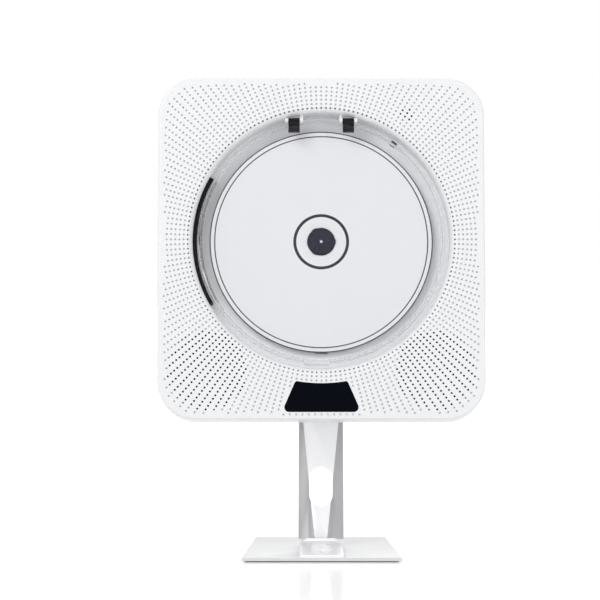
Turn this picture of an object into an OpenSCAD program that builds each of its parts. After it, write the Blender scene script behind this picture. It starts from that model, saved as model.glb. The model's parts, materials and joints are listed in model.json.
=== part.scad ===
// Upright disc player that hangs on a wall or stands on a leaning desk stand.
// Everything of the player is drawn in its own frame: x to the right, y up the
// face, z out of the face, with z = 0 in the middle of the disc's thickness.

/* [Body] */
// Width of the body beside the clear cover, on each side
side_margin = 21.3; // [21:0.1:26]
// Height of the body above the clear cover
top_margin = 21.8; // [21.4:0.1:26]
// Height of the body below the clear cover
low_margin = 30.4; // [30:0.1:36]
// Depth of the body, from its face to its back
body_d = 42; // [40:1:50]
// Radius of the body's four corners, seen from the front
corner_r = 20.75; // [17:0.25:24]
// Rounding of the front edge
edge_r = 1.4; // [0.8:0.1:1.4]
// Wall of the front housing's sides
side_wall = 2.2; // [1.8:0.1:2.6]
// Thickness of the housing's front wall, under the grille
front_wall = 1.6; // [1.2:0.1:2]
// Depth of the front housing, from the face to the split line
front_d = 18; // [17:1:20]
// How far the face stands in front of the middle of the disc
face_rise = 10; // [9:0.5:12]

/* [Grille] */
// Thickness of the perforated front sheet
sheet_t = 1; // [0.8:0.1:1.2]
// Width of the housing's rim round the sheet
rim = 1.5; // [1.5:0.1:2]
// Diameter of one hole
hole_d = 1.15; // [0.9:0.05:1.3]
// Number of rays of holes
rays = 180; // [120:4:180]
// Distance between rings of holes
ring_pitch = 2.29; // [2.2:0.01:2.6]
// Bare border between the bay's lip and the innermost ring of holes
first_ring_gap = 1.4; // [1.2:0.1:3]
// Bare border between the holes and the edge of the sheet
border = 1.9; // [1.5:0.1:4]

/* [Disc bay] */
// Gap between the clear cover and the wall of the bay
bay_gap = 2.8; // [2.4:0.1:3.2]
// Radius of the rolled lip where the face turns into the bay
lip_r = 4; // [3:0.5:4]
// Wall of the bay
bay_wall = 1.6; // [1.4:0.1:1.6]
// Thickness of the deck at the bottom of the bay
deck_t = 2; // [1.6:0.1:2.4]
// Gap between the disc and the deck behind it
deck_gap = 2.9; // [2.5:0.1:3.2]

/* [Disc and turntable] */
// Radius of the disc
disc_r = 60; // [58:1:64]
// Radius of the disc's middle hole
disc_hole_r = 7.5; // [7:0.1:8]
// Thickness of the disc
disc_t = 1.2; // [1:0.1:1.4]
// Radius of the platform that the disc rests on
platform_r = 14.5; // [13:0.5:15]
// Thickness of the platform
platform_t = 1.6; // [1.2:0.1:2]
// Radius of the spindle
spindle_r = 0.75; // [0.6:0.05:1]

/* [Dust cover] */
// How far the clear cover reaches beyond the disc
cover_gap = 6.2; // [5.8:0.1:7]
// Wall of the clear cover
cover_t = 1.6; // [1.4:0.1:1.8]
// Radius of the cover's front corner
cover_corner_r = 3.2; // [2.4:0.1:3.4]
// How far the cover stands proud of the face
cover_proud = 1.5; // [1:0.1:2]
// How far the hinge line lies inside the cover's edge
hinge_inset = 1.5; // [1.5:0.1:1.7]
// How far the hinge line lies behind the face
hinge_in = 2.4; // [2.2:0.1:2.6]
// Distance of each hinge arm from the middle
arm_x = 14.6; // [14:0.1:15]
// Width of one hinge arm
arm_w = 6.1; // [5.5:0.1:6.3]
// Radius of the hinge barrel
barrel_r = 1.5; // [1.4:0.05:1.5]
// Radius of the hinge pins
pin_r = 0.75; // [0.6:0.05:0.8]
// Angle that the dark finger strip covers
strip_angle = 60; // [40:5:70]

/* [Display] */
// Distance of the window's curved upper edge from the bay's lip
window_gap = 4.3; // [4.1:0.1:5]
// Distance of the window's lower edge from the body's lower edge
window_rise = 4.2; // [4:0.1:6]
// Width of the window at its upper edge
window_top_w = 29; // [26:0.5:31]
// Width of the window at its lower edge
window_low_w = 39.2; // [36:0.1:40]

/* [Speakers] */
// Distance of each speaker's middle from the side of the body
speaker_in_x = 26.5; // [26.2:0.1:27]
// Distance of each speaker's middle from the body's lower edge
speaker_in_y = 26.3; // [26:0.1:27]
// Radius of a speaker's flange
speaker_r = 22.2; // [21.8:0.1:22.2]
// Radius of the opening in the housing in front of a speaker
speaker_open_r = 21.3; // [20.8:0.1:21.4]
// Depth of a speaker
speaker_d = 16; // [14:0.5:17]

/* [Optical mechanism] */
// Radius of the innermost track that the lens reads
track_in_r = 23; // [22:0.5:24]
// Distance of the outermost track from the disc's edge
track_margin = 2.6; // [2:0.1:4]
// Radius of the guide rods
rod_r = 1.5; // [1.2:0.1:1.5]
// Distance of each guide rod from the middle
rod_x = 17.5; // [17:0.5:18]
// Radius of the lead screw
screw_r = 1.5; // [1.2:0.1:1.5]
// Thickness of the mechanism's frame
frame_t = 1.6; // [1.4:0.1:2]

/* [Controls and sockets] */
// Length of one button on the top edge
button_l = 9; // [7:0.5:10]
// Width of one button on the top edge
button_w = 3.6; // [3:0.1:4]
// Distance from one button to the next
button_pitch = 14; // [12:0.5:15]
// Travel of a button
button_travel = 0.5; // [0.3:0.05:0.6]
// Travel of the power switch's knob
switch_travel = 3.5; // [2.5:0.1:4]
// Radius of the bore of the two sound sockets
jack_r = 1.8; // [1.75:0.01:1.85]
// Radius of the bore of the power inlet
inlet_r = 2.8; // [2.7:0.05:2.9]

/* [Stand] */
// Height of the disc's axis above the table
axis_h = 167; // [160:1:180]
// Angle that the player leans back
lean = 8; // [5:0.5:9]
// Width of the column
column_w = 24.5; // [22:0.5:28]
// Thickness of the column's sheet metal
column_t = 1.5; // [1.2:0.1:2]
// Width of the tongue that lies on the base
tongue_w = 23; // [20:0.5:24]
// Depth of the trough that is pressed into the column's foot
trough_d = 6.2; // [4:0.2:7]
// Width of each slanting side of the trough, at the foot
trough_side = 8.9; // [7:0.1:9.5]
// Width of the cable hole in the column
cable_hole_w = 12.8; // [10:0.2:13]
// Length of the cable hole in the column
cable_hole_l = 21.7; // [18:0.1:24]
// Depth of the base, front to back
base_d = 106; // [100:1:130]
// Width of the base at its front
base_front_w = 84; // [76:1:110]
// Width of the base at its back
base_back_w = 72; // [64:1:100]
// Thickness of the base plate
base_t = 1.7; // [1.5:0.1:3]
// Thickness of the pad under the base
pad_t = 0.5; // [0.4:0.1:1]
// How far the disc's axis lies in front of the middle of the base
axis_forward = 3; // [0:0.5:8]

/* [Hidden] */
$fn = 64;

// Clearances
slip = 0.15;
running = 0.05;
snug = 0.02;
hair = 0.3;

// Radii about the disc's axis
cover_r = disc_r + cover_gap;
bay_r = cover_r + bay_gap;
opening_r = bay_r + lip_r;
hinge_up = cover_r - hinge_inset;
first_ring_r = opening_r + first_ring_gap;

// Levels in the player's frame
face_z = face_rise;
seat_z = face_z - sheet_t;
wall_z = seat_z - front_wall;
split_z = face_z - front_d;
back_z = face_z - body_d;
disc_back_z = -disc_t / 2;
deck_z = disc_back_z - deck_gap;
deck_back_z = deck_z - deck_t;
lip_z = face_z - lip_r;
cover_z = face_z + cover_proud;
skirt_z = 0.4;
hinge_z = face_z - hinge_in;
side_x = cover_r + side_margin;
top_y = cover_r + top_margin;
low_y = -cover_r - low_margin;
mid_y = (top_y + low_y) / 2;
body_w = 2 * side_x;
body_h = top_y - low_y;

// Housing
rear_wall = 1.8;
back_inset = 12;
back_r = 3;
tongue_t = 1.2;
tongue_h = 1.7;
flange_r = opening_r + 3;
flange_t = 1.4;
boss_r = 3;
boss_bore_r = 1.2;
tube_r = 4.4;
boss_in = back_inset + tube_r + 0.6;
side_boss_y = -44;
low_boss_x = 34;
boss_at = [
  for (s = [-1, 1])
    for (p = [[side_x - boss_in, top_y - boss_in], [side_x - boss_in, side_boss_y],
        [low_boss_x, low_y + boss_in]])
      [s * p[0], p[1]]
];
boss_bore_d = 10;
screw_head_r = 2.8;
screw_head_t = 1.6;
screw_seat = 5;
screw_l = 11;
keyhole_x = 45;
keyhole_y = 36;
keyhole_head_r = 4.2;
keyhole_neck_r = 2.4;
keyhole_rise = 9;
vent_w = 2;
vent_l = 34;
vent_y = 56;
vent_pitch = 4.5;
vents_a_side = 3;

// Sensor behind the small group of open holes
sensor_angle = 55.9;
sensor_out = flange_r + 6.1;
sensor_at = [sensor_out * cos(sensor_angle), sensor_out * sin(sensor_angle)];
sensor_w = 6;
sensor_h = 6.4;
sensor_open_r = 3.7;

// Window
window_top_r = opening_r + window_gap;
window_low = -low_y - window_rise;
window_corner_r = 2.4;
window_flange = 1.4;
window_flange_t = 0.8;
display_w = 28;
display_h = 9;
display_board_w = 40;
display_board_h = 13;
display_t = 4;
board_t = 1.2;
display_mid_y = -(window_top_r + window_low) / 2 - 0.5;
display_back_z = wall_z - window_flange_t - display_t;

// Hinge
ear_t = 1.6;
ear_gap = slip;
ear_in_x = arm_x - arm_w / 2 - ear_gap - ear_t;
ear_out_x = arm_x + arm_w / 2 + ear_gap;
notch_y = hinge_up - 2.7;
notch_z = hinge_z - barrel_r - 0.8;
tab_w = 13.4;
tab_x = -2.4;
tab_out = 1.8;
arm_reach = 6.4;
sensor_slot_a = -36;
sensor_slot_r = cover_r + 0.2;
sensor_slot_x = sensor_slot_r * cos(90 + sensor_slot_a);
sensor_slot_y = sensor_slot_r * sin(90 + sensor_slot_a);

// Turntable
nose_r = disc_hole_r - slip;
nose_top_z = 1.8;
sleeve_r = 2.4;
claw_w = 2.2;
claw_t = 0.8;
hub_hole_r = platform_r + 2;

// Mechanism
frame_z = deck_back_z - 3.1;
frame_back_z = frame_z - frame_t;
frame_top_y = 22;
frame_w = 76;
frame_corner_r = 5;
frame_hole_w = 30;
motor_r = 12;
motor_h = 7;
bush_r = 2.4;
rod_z = frame_back_z - 3.2;
rod_top_y = -10.5;
rod_post_w = 6;
rod_post_l = 3;
rod_wall = 1.4;
sled_l = 17;
sled_travel = disc_r - track_margin - track_in_r;
rod_low_y = -track_in_r - sled_travel - sled_l / 2 - 1.5 - rod_post_l;
frame_low_y = rod_low_y - 3;
sled_t = 7;
bush_w = 2.6;
lens_r = 1.9;
lens_gap = 1.5;
lens_ring_r = 2.4;
slot_side = 1;
screw_x = 24;
screw_top_y = -20;
screw_post_w = 5.2;
motor_plate_w = 8;
nut_l = 6;
motor_can_r = 3.1;
motor_can_l = 15;
damper_r = 4.2;
damper_waist_r = 3;
damper_foot = 1.6;
damper_head_r = 3.6;
damper_head_t = 1.2;
damper_bore_r = 0.9;
damper_x = frame_w / 2 - 5;
damper_top_y = frame_top_y - 5;
damper_low_y = 17 - bay_r;
post_r = 2;

// Speakers
speaker_x = side_x - speaker_in_x;
speaker_down = -low_y - speaker_in_y;
magnet_r = 10.5;
magnet_t = 4.8;
basket_r = 12.4;
basket_t = 1.2;
speaker_rim_w = 4.4;
speaker_rim_t = 1.5;
surround_w = 2.3;
cap_r = 6;
cap_depth = 6.6;

// Boards
main_w = 56;
main_h = 84;
main_x = side_x - main_w / 2 - 13.5;
main_y = 4;
main_z = back_z + rear_wall + 7;
standoff_r = 2.6;
post_bore_r = 0.9;
post_in = 4;
board_posts = [
  for (sx = [-1, 1]) for (sy = [-1, 1])
    [main_x + sx * (main_w / 2 - post_in), main_y + sy * (main_h / 2 - post_in)]
];
processor_w = 14;
memory_w = 10;
memory_l = 6;
amplifier_w = 12;
amplifier_l = 8;
chip_t = 1.4;
capacitor_r = 3;
capacitor_h = 6;
capacitor_pitch = 9;
plug_w = 5;
plug_l = 16;
plug_h = 4;

// Buttons
button_names = 7;
button_z = split_z + 8;
stem_l = 4.2;
stem_w = 2.4;
shoulder_w = 0.7;
shoulder_t = 1.2;
cap_t = side_wall + shoulder_t;
key_gap = button_travel + 0.1;
key_h = 1.6;
key_w = 3.6;
key_board_w = 9;
key_top_y = top_y - cap_t - stem_l - key_gap;

// Sockets on the right side
port_z = split_z + 6.6;
port_face_x = side_x - side_wall;
port_d = 12;
inlet_w = 9;
inlet_h = 7.4;
contact_r = 1;
jack_w = 6.4;
jack_h = 6.6;
jack_wall = 0.9;
jack_play = 0.4;
inlet_y = -32;
line_y = -19;
phone_y = -8;
usb_y = 7;
power_y = 25;
port_drop = 3.6;
port_board_z = port_z - port_drop;
port_board_t = 1.2;
port_board_w = 13;
port_board_low = 6;
port_board_up = 8;
usb_w = 13.2;
usb_h = 5.8;
usb_shell_t = 0.4;
usb_tongue_w = 9.2;
usb_tongue_t = 1.6;
switch_l = 12;
switch_d = 5.8;
switch_h = 6.8;
switch_slot_d = 2.4;
knob_l = 4;
knob_w = 3;
knob_stem_l = 2;
knob_stem_w = 2;

// Stand, in the player's frame: the column's front edges touch the back
axis_y = -axis_forward;
base_top_z = pad_t + base_t;
column_top_y = 8;
column_flat_y = -72;
plate_top_z = base_top_z + column_t;
foot_y = (plate_top_z + 2.2 - axis_h - back_z * sin(lean)) / cos(lean);
stand_screw_r = 2;
stand_screw_l = 6;
stand_head_r = 4;
stand_head_t = 2;
stand_boss_r = 4;
stand_screw_y = [-4, -44];
hole_mid_y = -129.5;
bend_r = 2.2;
bend_mid_y = axis_y + foot_y * sin(lean) - (back_z - trough_d / 2) * cos(lean) - bend_r;
base_screw_in = 15;
base_screw_gap = 24;
base_screw_y = [for (i = [0, 1]) base_screw_in + i * base_screw_gap - base_d / 2];
base_screw_r = 1.25;
base_head_r = 2.5;
base_head_t = 1;

white = [0.94, 0.94, 0.95];
graphite = [0.12, 0.12, 0.13];

// The player's frame, set on the stand
module in_player() {
  translate([0, axis_y, axis_h]) rotate([90 - lean, 0, 0]) children();
}

// Rectangle with true round corners, about its middle
module rounded_rect(w, h, r) {
  square([w, h - 2 * r], center = true);
  square([w - 2 * r, h], center = true);
  for (sx = [-1, 1]) for (sy = [-1, 1])
    translate([sx * (w / 2 - r), sy * (h / 2 - r)]) circle(r);
}

// Body outline, drawn in from the outer edge
module body_outline(inset) {
  translate([0, mid_y]) rounded_rect(body_w - 2 * inset, body_h - 2 * inset, corner_r - inset);
}

// Sweeps a wall profile round the body; x = 0 of the profile is the outer edge
module sweep_round_body() {
  translate([0, mid_y, 0]) for (k = [0:3]) {
    a = (k % 2 == 0 ? body_w : body_h) / 2;
    b = (k % 2 == 0 ? body_h : body_w) / 2 - corner_r;
    rotate(90 * k) {
      translate([a, b, 0]) rotate([90, 0, 0]) linear_extrude(2 * b) children();
      translate([a - corner_r, b, 0])
        rotate_extrude(angle = 90) translate([corner_r, 0]) children();
    }
  }
}

// Cylinder along x
module rod_x_way(r, l) {
  rotate([0, 90, 0]) cylinder(r = r, h = l);
}

// Outline of the display window, grown by a margin
module window_shape(grow) {
  r = window_corner_r;
  low = -window_low + r;
  top = -window_top_r - 1;
  difference() {
    hull() {
      for (s = [-1, 1]) translate([s * (window_low_w / 2 - r), low]) circle(r + grow, $fn = 32);
      for (s = [-1, 1]) translate([s * (window_top_w / 2 - r), top]) circle(r + grow, $fn = 32);
    }
    circle(window_top_r - grow);
  }
}

// Whether a point lies inside the body outline less an inset
function inside_outline(p, inset) =
  let (x = abs(p[0]), y = abs(p[1] - mid_y), w = body_w / 2 - inset, h = body_h / 2 - inset,
       r = corner_r - inset)
  x <= w && y <= h && (x <= w - r || y <= h - r || norm([x - w + r, y - h + r]) <= r);

// Whether a point lies at a speaker or at the remote sensor
function is_open_zone(p) =
  norm([abs(p[0]) - speaker_x, p[1] + speaker_down]) <= speaker_open_r - hole_d / 2
  || norm([p[0] - sensor_at[0], p[1] - sensor_at[1]]) <= sensor_open_r;

// Middles of the holes: rays and rings about the disc's axis
hole_points = [
  for (i = [0:rays - 1]) for (k = [0:ceil(body_h / 2 / ring_pitch)])
    let (a = 360 * i / rays, r = first_ring_r + k * ring_pitch, p = [r * cos(a), r * sin(a)])
    if (inside_outline(p, rim + border) && is_open_zone(p)) p
];

// Perforated sheet that covers the face and rolls into the bay
module face_grille() {
  color(white) in_player() {
    translate([0, 0, seat_z]) linear_extrude(sheet_t) difference() {
      body_outline(rim);
      circle(opening_r);
      window_shape(slip);
      for (p = hole_points) translate(p) circle(d = hole_d, $fn = 16);
    }
    rotate_extrude() translate([opening_r, lip_z]) difference() {
      circle(lip_r);
      circle(lip_r - sheet_t);
      translate([0, -lip_r]) square(2 * lip_r);
      translate([-lip_r, -lip_r]) square([2 * lip_r, lip_r]);
    }
  }
}

// Section of the front housing's side wall, with the seat for the sheet
module housing_wall() {
  difference() {
    translate([-side_wall, split_z]) square([side_wall, front_d]);
    translate([-edge_r, face_z - edge_r]) difference() {
      square(edge_r + 1);
      circle(edge_r);
    }
    translate([-side_wall - 1, seat_z]) square([side_wall + 1 - rim, sheet_t + 1]);
  }
}

// Solids that pass through the housing's side walls
module housing_cuts() {
  for (i = [0:button_names - 1]) translate([button_place(i), top_y, button_z])
    rotate([90, 0, 0]) linear_extrude(3 * side_wall, center = true)
      square([button_l + 2 * slip, button_w + 2 * slip], center = true);
  translate([side_x, inlet_y, port_z]) rod_x_center(inlet_r, 3 * side_wall);
  for (y = [line_y, phone_y]) translate([side_x, y, port_z]) {
    for (s = [-1, 1]) translate([0, s * jack_play, 0]) rod_x_center(jack_r + 1, 3 * side_wall);
    cube([3 * side_wall, 2 * jack_play, 2 * (jack_r + 1)], center = true);
  }
  translate([side_x, usb_y, port_z]) cube([3 * side_wall, usb_w, usb_h], center = true);
  translate([side_x, power_y, port_z])
    cube([3 * side_wall, knob_l + switch_travel + 2 * slip, knob_w + 2 * slip], center = true);
}

// Cylinder along x, about its middle
module rod_x_center(r, l) {
  rotate([0, 90, 0]) cylinder(r = r, h = l, center = true);
}

// Place of a button along the top edge
function button_place(i) = (i - (button_names - 1) / 2) * button_pitch;

// Front housing: side walls, front wall with its openings, screw bosses
module front_housing() {
  color(white) in_player() difference() {
    union() {
      sweep_round_body() housing_wall();
      translate([0, 0, wall_z]) linear_extrude(front_wall) difference() {
        body_outline(rim);
        circle(opening_r);
        window_shape(slip);
        for (s = [-1, 1]) translate([s * speaker_x, -speaker_down]) circle(speaker_open_r);
        translate(sensor_at) circle(sensor_open_r);
      }
      translate([0, 0, lip_z]) linear_extrude(wall_z - lip_z) difference() {
        circle(opening_r + 1.9);
        circle(opening_r + 0.4);
        for (s = [-1, 1]) translate([s * speaker_x, -speaker_down]) circle(speaker_r + hair);
      }
      for (p = boss_at) translate([p[0], p[1], split_z + hair])
        cylinder(r = boss_r, h = wall_z - split_z - hair + 0.2);
    }
    housing_cuts();
    for (p = boss_at) translate([p[0], p[1], split_z - 1])
      cylinder(r = boss_bore_r, h = boss_bore_d + 1);
  }
}

// Space kept clear for the two speakers
module speaker_room() {
  for (s = [-1, 1]) translate([s * speaker_x, -speaker_down, wall_z - 5])
    cylinder(r = speaker_r + hair, h = 5);
}

// Ear of the hinge: a round end and a root in the bay's wall
module hinge_ear(x, root_y) {
  difference() {
    union() {
      translate([x, hinge_up, hinge_z]) rod_x_way(barrel_r, ear_t);
      translate([x, hinge_up, lip_z - 0.5]) cube([ear_t, barrel_r, hinge_z - lip_z + 0.5]);
      intersection() {
        translate([x, root_y, 0]) cube([ear_t, bay_r, lip_z]);
        cylinder(r = bay_r + 0.6, h = lip_z);
      }
    }
    translate([x - 1, hinge_up, hinge_z]) rod_x_way(pin_r + snug, ear_t + 2);
  }
}

// Round bay with the deck, the opening for the turntable and pickup, and the hinge ears
module disc_bay() {
  color(white) in_player() {
    difference() {
      union() {
        rotate_extrude() {
          translate([bay_r, deck_back_z]) square([bay_wall, lip_z - deck_back_z]);
          translate([0, deck_back_z]) square([bay_r + bay_wall / 2, deck_t]);
        }
        difference() {
          rotate_extrude() translate([bay_r + bay_wall / 2, lip_z - flange_t])
            square([flange_r - bay_r - bay_wall / 2, flange_t]);
          difference() {
            speaker_room();
            cylinder(r = bay_r + bay_wall, h = 2 * face_z);
          }
        }
        for (x = [-1, 1]) for (y = [damper_top_y, damper_low_y])
          translate([x * damper_x, y, frame_back_z - damper_foot - 0.1])
            cylinder(r = post_r, h = deck_back_z - frame_back_z + 2);
      }
      translate([0, 0, deck_back_z - 1]) cylinder(r = hub_hole_r, h = deck_t + 2);
      translate([-lens_ring_r - slot_side, -track_in_r - sled_travel - lens_ring_r - hair,
          deck_back_z - 1])
        cube([2 * (lens_ring_r + slot_side), track_in_r + sled_travel, deck_t + 2]);
      translate([sensor_slot_x, sensor_slot_y, deck_back_z - 1]) rotate(sensor_slot_a)
        translate([-1.7, -1.5, 0]) cube([3.4, 3, deck_t + 2]);
      for (x = [-1, 1]) for (y = [damper_top_y, damper_low_y])
        translate([x * damper_x, y, frame_back_z - 3]) cylinder(r = damper_bore_r, h = 5.5);
    }
    for (s = [-1, 1]) mirror([s < 0 ? 1 : 0, 0, 0]) {
      hinge_ear(ear_in_x, sqrt(cover_r * cover_r - ear_in_x * ear_in_x) + hair);
      hinge_ear(ear_out_x, sqrt(cover_r * cover_r - ear_out_x * ear_out_x) + hair);
    }
  }
}

// Section of the rear cover's tapered side, drawn from the split line
module cover_wall() {
  low = back_z;
  polygon([[0, split_z], [0, split_z - 2], [-back_inset + back_r, low + 1], [-back_inset, low],
    [-back_inset - back_r, low], [-back_inset - back_r, low + rear_wall],
    [-back_inset + back_r - rear_wall + 0.4, low + rear_wall + 1], [-rear_wall, split_z - 2],
    [-rear_wall, split_z]]);
  translate([-side_wall - slip - tongue_t, split_z - 2]) square([tongue_t, tongue_h + 2]);
  translate([-side_wall - slip - tongue_t, split_z - 2]) square([side_wall + slip + tongue_t - 0.4, 2]);
}

// Rear cover with screw tubes, wall keyholes, vents and board posts
module rear_cover() {
  color(white) in_player() difference() {
    union() {
      sweep_round_body() cover_wall();
      translate([0, 0, back_z]) linear_extrude(rear_wall) body_outline(back_inset + back_r / 2);
      for (p = boss_at) translate([p[0], p[1], back_z + 1])
        cylinder(r = tube_r, h = split_z - back_z - 1);
      for (p = board_posts) translate([p[0], p[1], back_z + 1])
        cylinder(r = standoff_r, h = main_z - back_z - 1);
      for (y = stand_screw_y) translate([0, y, back_z + 1])
        cylinder(r = stand_boss_r, h = stand_screw_l - 1);
    }
    for (p = boss_at) {
      translate([p[0], p[1], back_z - 1]) cylinder(r = boss_bore_r + hair, h = body_d);
      translate([p[0], p[1], back_z - 1])
        cylinder(r = screw_head_r + hair, h = split_z - screw_seat - back_z + 1);
    }
    for (s = [-1, 1]) translate([s * keyhole_x, keyhole_y, back_z - 1]) linear_extrude(rear_wall + 2) {
      circle(keyhole_head_r);
      translate([0, keyhole_rise]) circle(keyhole_neck_r);
      translate([-keyhole_neck_r, 0]) square([2 * keyhole_neck_r, keyhole_rise]);
    }
    for (i = [-vents_a_side:vents_a_side])
      translate([i * vent_pitch, vent_y, back_z - 1]) linear_extrude(rear_wall + 2) {
        square([vent_w, vent_l - vent_w], center = true);
        for (s = [-1, 1]) translate([0, s * (vent_l - vent_w) / 2]) circle(vent_w / 2);
      }
    for (p = board_posts) translate([p[0], p[1], back_z + rear_wall + 0.7])
      cylinder(r = post_bore_r, h = main_z - back_z);
    for (y = stand_screw_y) translate([0, y, back_z - 1])
      cylinder(r = stand_screw_r + snug, h = stand_screw_l);
  }
}

// Screws that hold the rear cover
module rear_screws() {
  color("silver") in_player() for (p = boss_at)
    translate([p[0], p[1], split_z - screw_seat - screw_head_t]) {
      cylinder(r = screw_head_r, h = screw_head_t);
      cylinder(r = boss_bore_r - snug, h = screw_head_t + screw_l);
    }
}

// Section of the clear cover: plate, round corner and skirt
module cover_section() {
  c = [cover_r - cover_corner_r, cover_z - cover_corner_r];
  translate([0, cover_z - cover_t]) square([c[0], cover_t]);
  translate([cover_r - cover_t, skirt_z]) square([cover_t, c[1] - skirt_z]);
  translate(c) intersection() {
    difference() {
      circle(cover_corner_r);
      circle(cover_corner_r - cover_t);
    }
    square(cover_corner_r);
  }
}

// Clear cover with its hinge notches and finger tab
module dust_cover() {
  color([0.9, 0.93, 0.95, 0.35]) in_player() {
    difference() {
      rotate_extrude() cover_section();
      for (s = [-1, 1]) mirror([s < 0 ? 1 : 0, 0, 0])
        translate([ear_in_x - slip, notch_y, notch_z])
          cube([ear_out_x + ear_t + 2 * slip - ear_in_x, cover_r, cover_z]);
    }
    intersection() {
      translate([tab_x - tab_w / 2, -cover_r - tab_out, face_z - 2.5])
        cube([tab_w, tab_out + 2.2, 2.5]);
      difference() {
        cylinder(r = cover_r + tab_out - 0.4, h = face_z + 5);
        cylinder(r = cover_r - cover_t / 2, h = face_z + 5);
      }
    }
  }
}

// Hinge arm: barrel, raised root and the tongue under the cover's plate
module hinge_arm() {
  under = cover_z - cover_t;
  bend_z = cover_z - cover_corner_r - 0.2;
  low = bend_z - 1.1;
  y = hinge_up;
  difference() {
    union() {
      translate([arm_x - arm_w / 2, y, hinge_z]) rod_x_way(barrel_r, arm_w);
      translate([arm_x - arm_w / 2, 0, 0]) rotate([90, 0, 90]) linear_extrude(arm_w)
        polygon([[y - arm_reach, low], [y - 2.6, low], [y, hinge_z - barrel_r], [y, hinge_z + barrel_r],
          [y - 2.3, cover_z - 0.2], [y - 2.6, cover_z - 0.2], [y - 2.6, bend_z], [y - 4.4, bend_z],
          [y - 4.4, under], [y - arm_reach, under]]);
    }
    translate([arm_x - arm_w, y, hinge_z]) rod_x_way(pin_r + running, 2 * arm_w);
  }
}

module hinge_arm_left() {
  color(graphite) in_player() mirror([1, 0, 0]) hinge_arm();
}

module hinge_arm_right() {
  color(graphite) in_player() hinge_arm();
}

// One steel pin through each arm and its two ears
module hinge_pins() {
  color("silver") in_player() for (s = [-1, 1]) mirror([s < 0 ? 1 : 0, 0, 0])
    translate([ear_in_x, hinge_up, hinge_z]) rod_x_way(pin_r, ear_out_x + ear_t - ear_in_x);
}

// Dark strip on the bay's wall, where a finger reaches the disc's edge
module finger_strip() {
  color(graphite) in_player() rotate(180 - strip_angle / 2)
    rotate_extrude(angle = strip_angle) translate([cover_r + 0.7, deck_z])
      square([bay_r - cover_r - 0.7, lip_z - deck_z - 1]);
}

// Sensor that tells whether the cover is shut
module cover_sensor() {
  color(graphite) in_player() translate([sensor_slot_x, sensor_slot_y, deck_back_z])
    rotate(sensor_slot_a) translate([-1.6, -1.4, 0]) cube([3.2, 2.8, deck_t]);
}

// Smoked window with a flange behind the front wall
module display_window() {
  color([0.03, 0.03, 0.05]) in_player() {
    translate([0, 0, wall_z]) linear_extrude(face_z - wall_z) window_shape(0);
    translate([0, 0, wall_z - window_flange_t]) linear_extrude(window_flange_t)
      window_shape(window_flange);
  }
}

// Digit module behind the window
module display_module() {
  color([0.85, 0.85, 0.85]) in_player()
    translate([0, display_mid_y, display_back_z + display_t / 2])
      cube([display_w, display_h, display_t], center = true);
}

// Board that carries the digit module
module display_board() {
  color([0.1, 0.35, 0.2]) in_player() translate([0, display_mid_y, display_back_z - board_t / 2])
    cube([display_board_w, display_board_h, board_t], center = true);
}

// Receiver behind the small group of open holes
module remote_sensor() {
  color(graphite) in_player() translate([sensor_at[0], sensor_at[1], wall_z - sensor_w / 2])
    cube([sensor_w, sensor_h, sensor_w], center = true);
}

// Disc
module disc() {
  color([0.9, 0.9, 0.9]) in_player() rotate_extrude()
    translate([disc_hole_r, disc_back_z]) square([disc_r - disc_hole_r, disc_t]);
}

// Turntable: platform, nose with three slots, and sleeve
module turntable() {
  color(graphite) in_player() difference() {
    rotate_extrude() {
      translate([0, disc_back_z - platform_t]) square([platform_r, platform_t]);
      translate([0, disc_back_z - platform_t])
        square([nose_r, nose_top_z - disc_back_z + platform_t - 0.8]);
      translate([0, disc_back_z - platform_t])
        square([nose_r - 0.8, nose_top_z - disc_back_z + platform_t]);
      translate([0, frame_z + 0.4]) square([sleeve_r, disc_back_z - frame_z - 1]);
    }
    translate([0, 0, frame_z - 1]) cylinder(r = spindle_r + snug, h = nose_top_z - frame_z + 2);
    for (a = [0:120:240]) rotate(a) translate([2.4, -claw_w / 2 - slip, -disc_t / 2])
      cube([nose_r, claw_w + 2 * slip, disc_t + nose_top_z]);
  }
}

// Three claws that hold the disc on the nose
module disc_claws() {
  color([0.22, 0.22, 0.25]) in_player() for (a = [0:120:240]) rotate(a) {
    translate([2.6, -claw_w / 2, -disc_t / 2]) cube([nose_r - 2.9, claw_w, disc_t + 1.1]);
    translate([nose_r - 1, -claw_w / 2, disc_t / 2 + 0.05]) cube([1.4, claw_w, claw_t]);
  }
}

// Spindle, pressed into the turntable
module spindle() {
  color("silver") in_player() translate([0, 0, frame_back_z - motor_h + 1])
    cylinder(r = spindle_r, h = nose_top_z - 0.8 - frame_back_z + motor_h - 1);
}

// Spindle motor under the frame, with its bush
module spindle_motor() {
  color([0.7, 0.7, 0.72]) in_player() difference() {
    union() {
      translate([0, 0, frame_back_z - motor_h]) cylinder(r = motor_r, h = motor_h);
      translate([0, 0, frame_back_z - 1]) cylinder(r = bush_r, h = 1 + frame_t);
    }
    translate([0, 0, frame_back_z - motor_h - 1]) cylinder(r = spindle_r + running, h = motor_h + frame_t + 3);
  }
}

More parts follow.
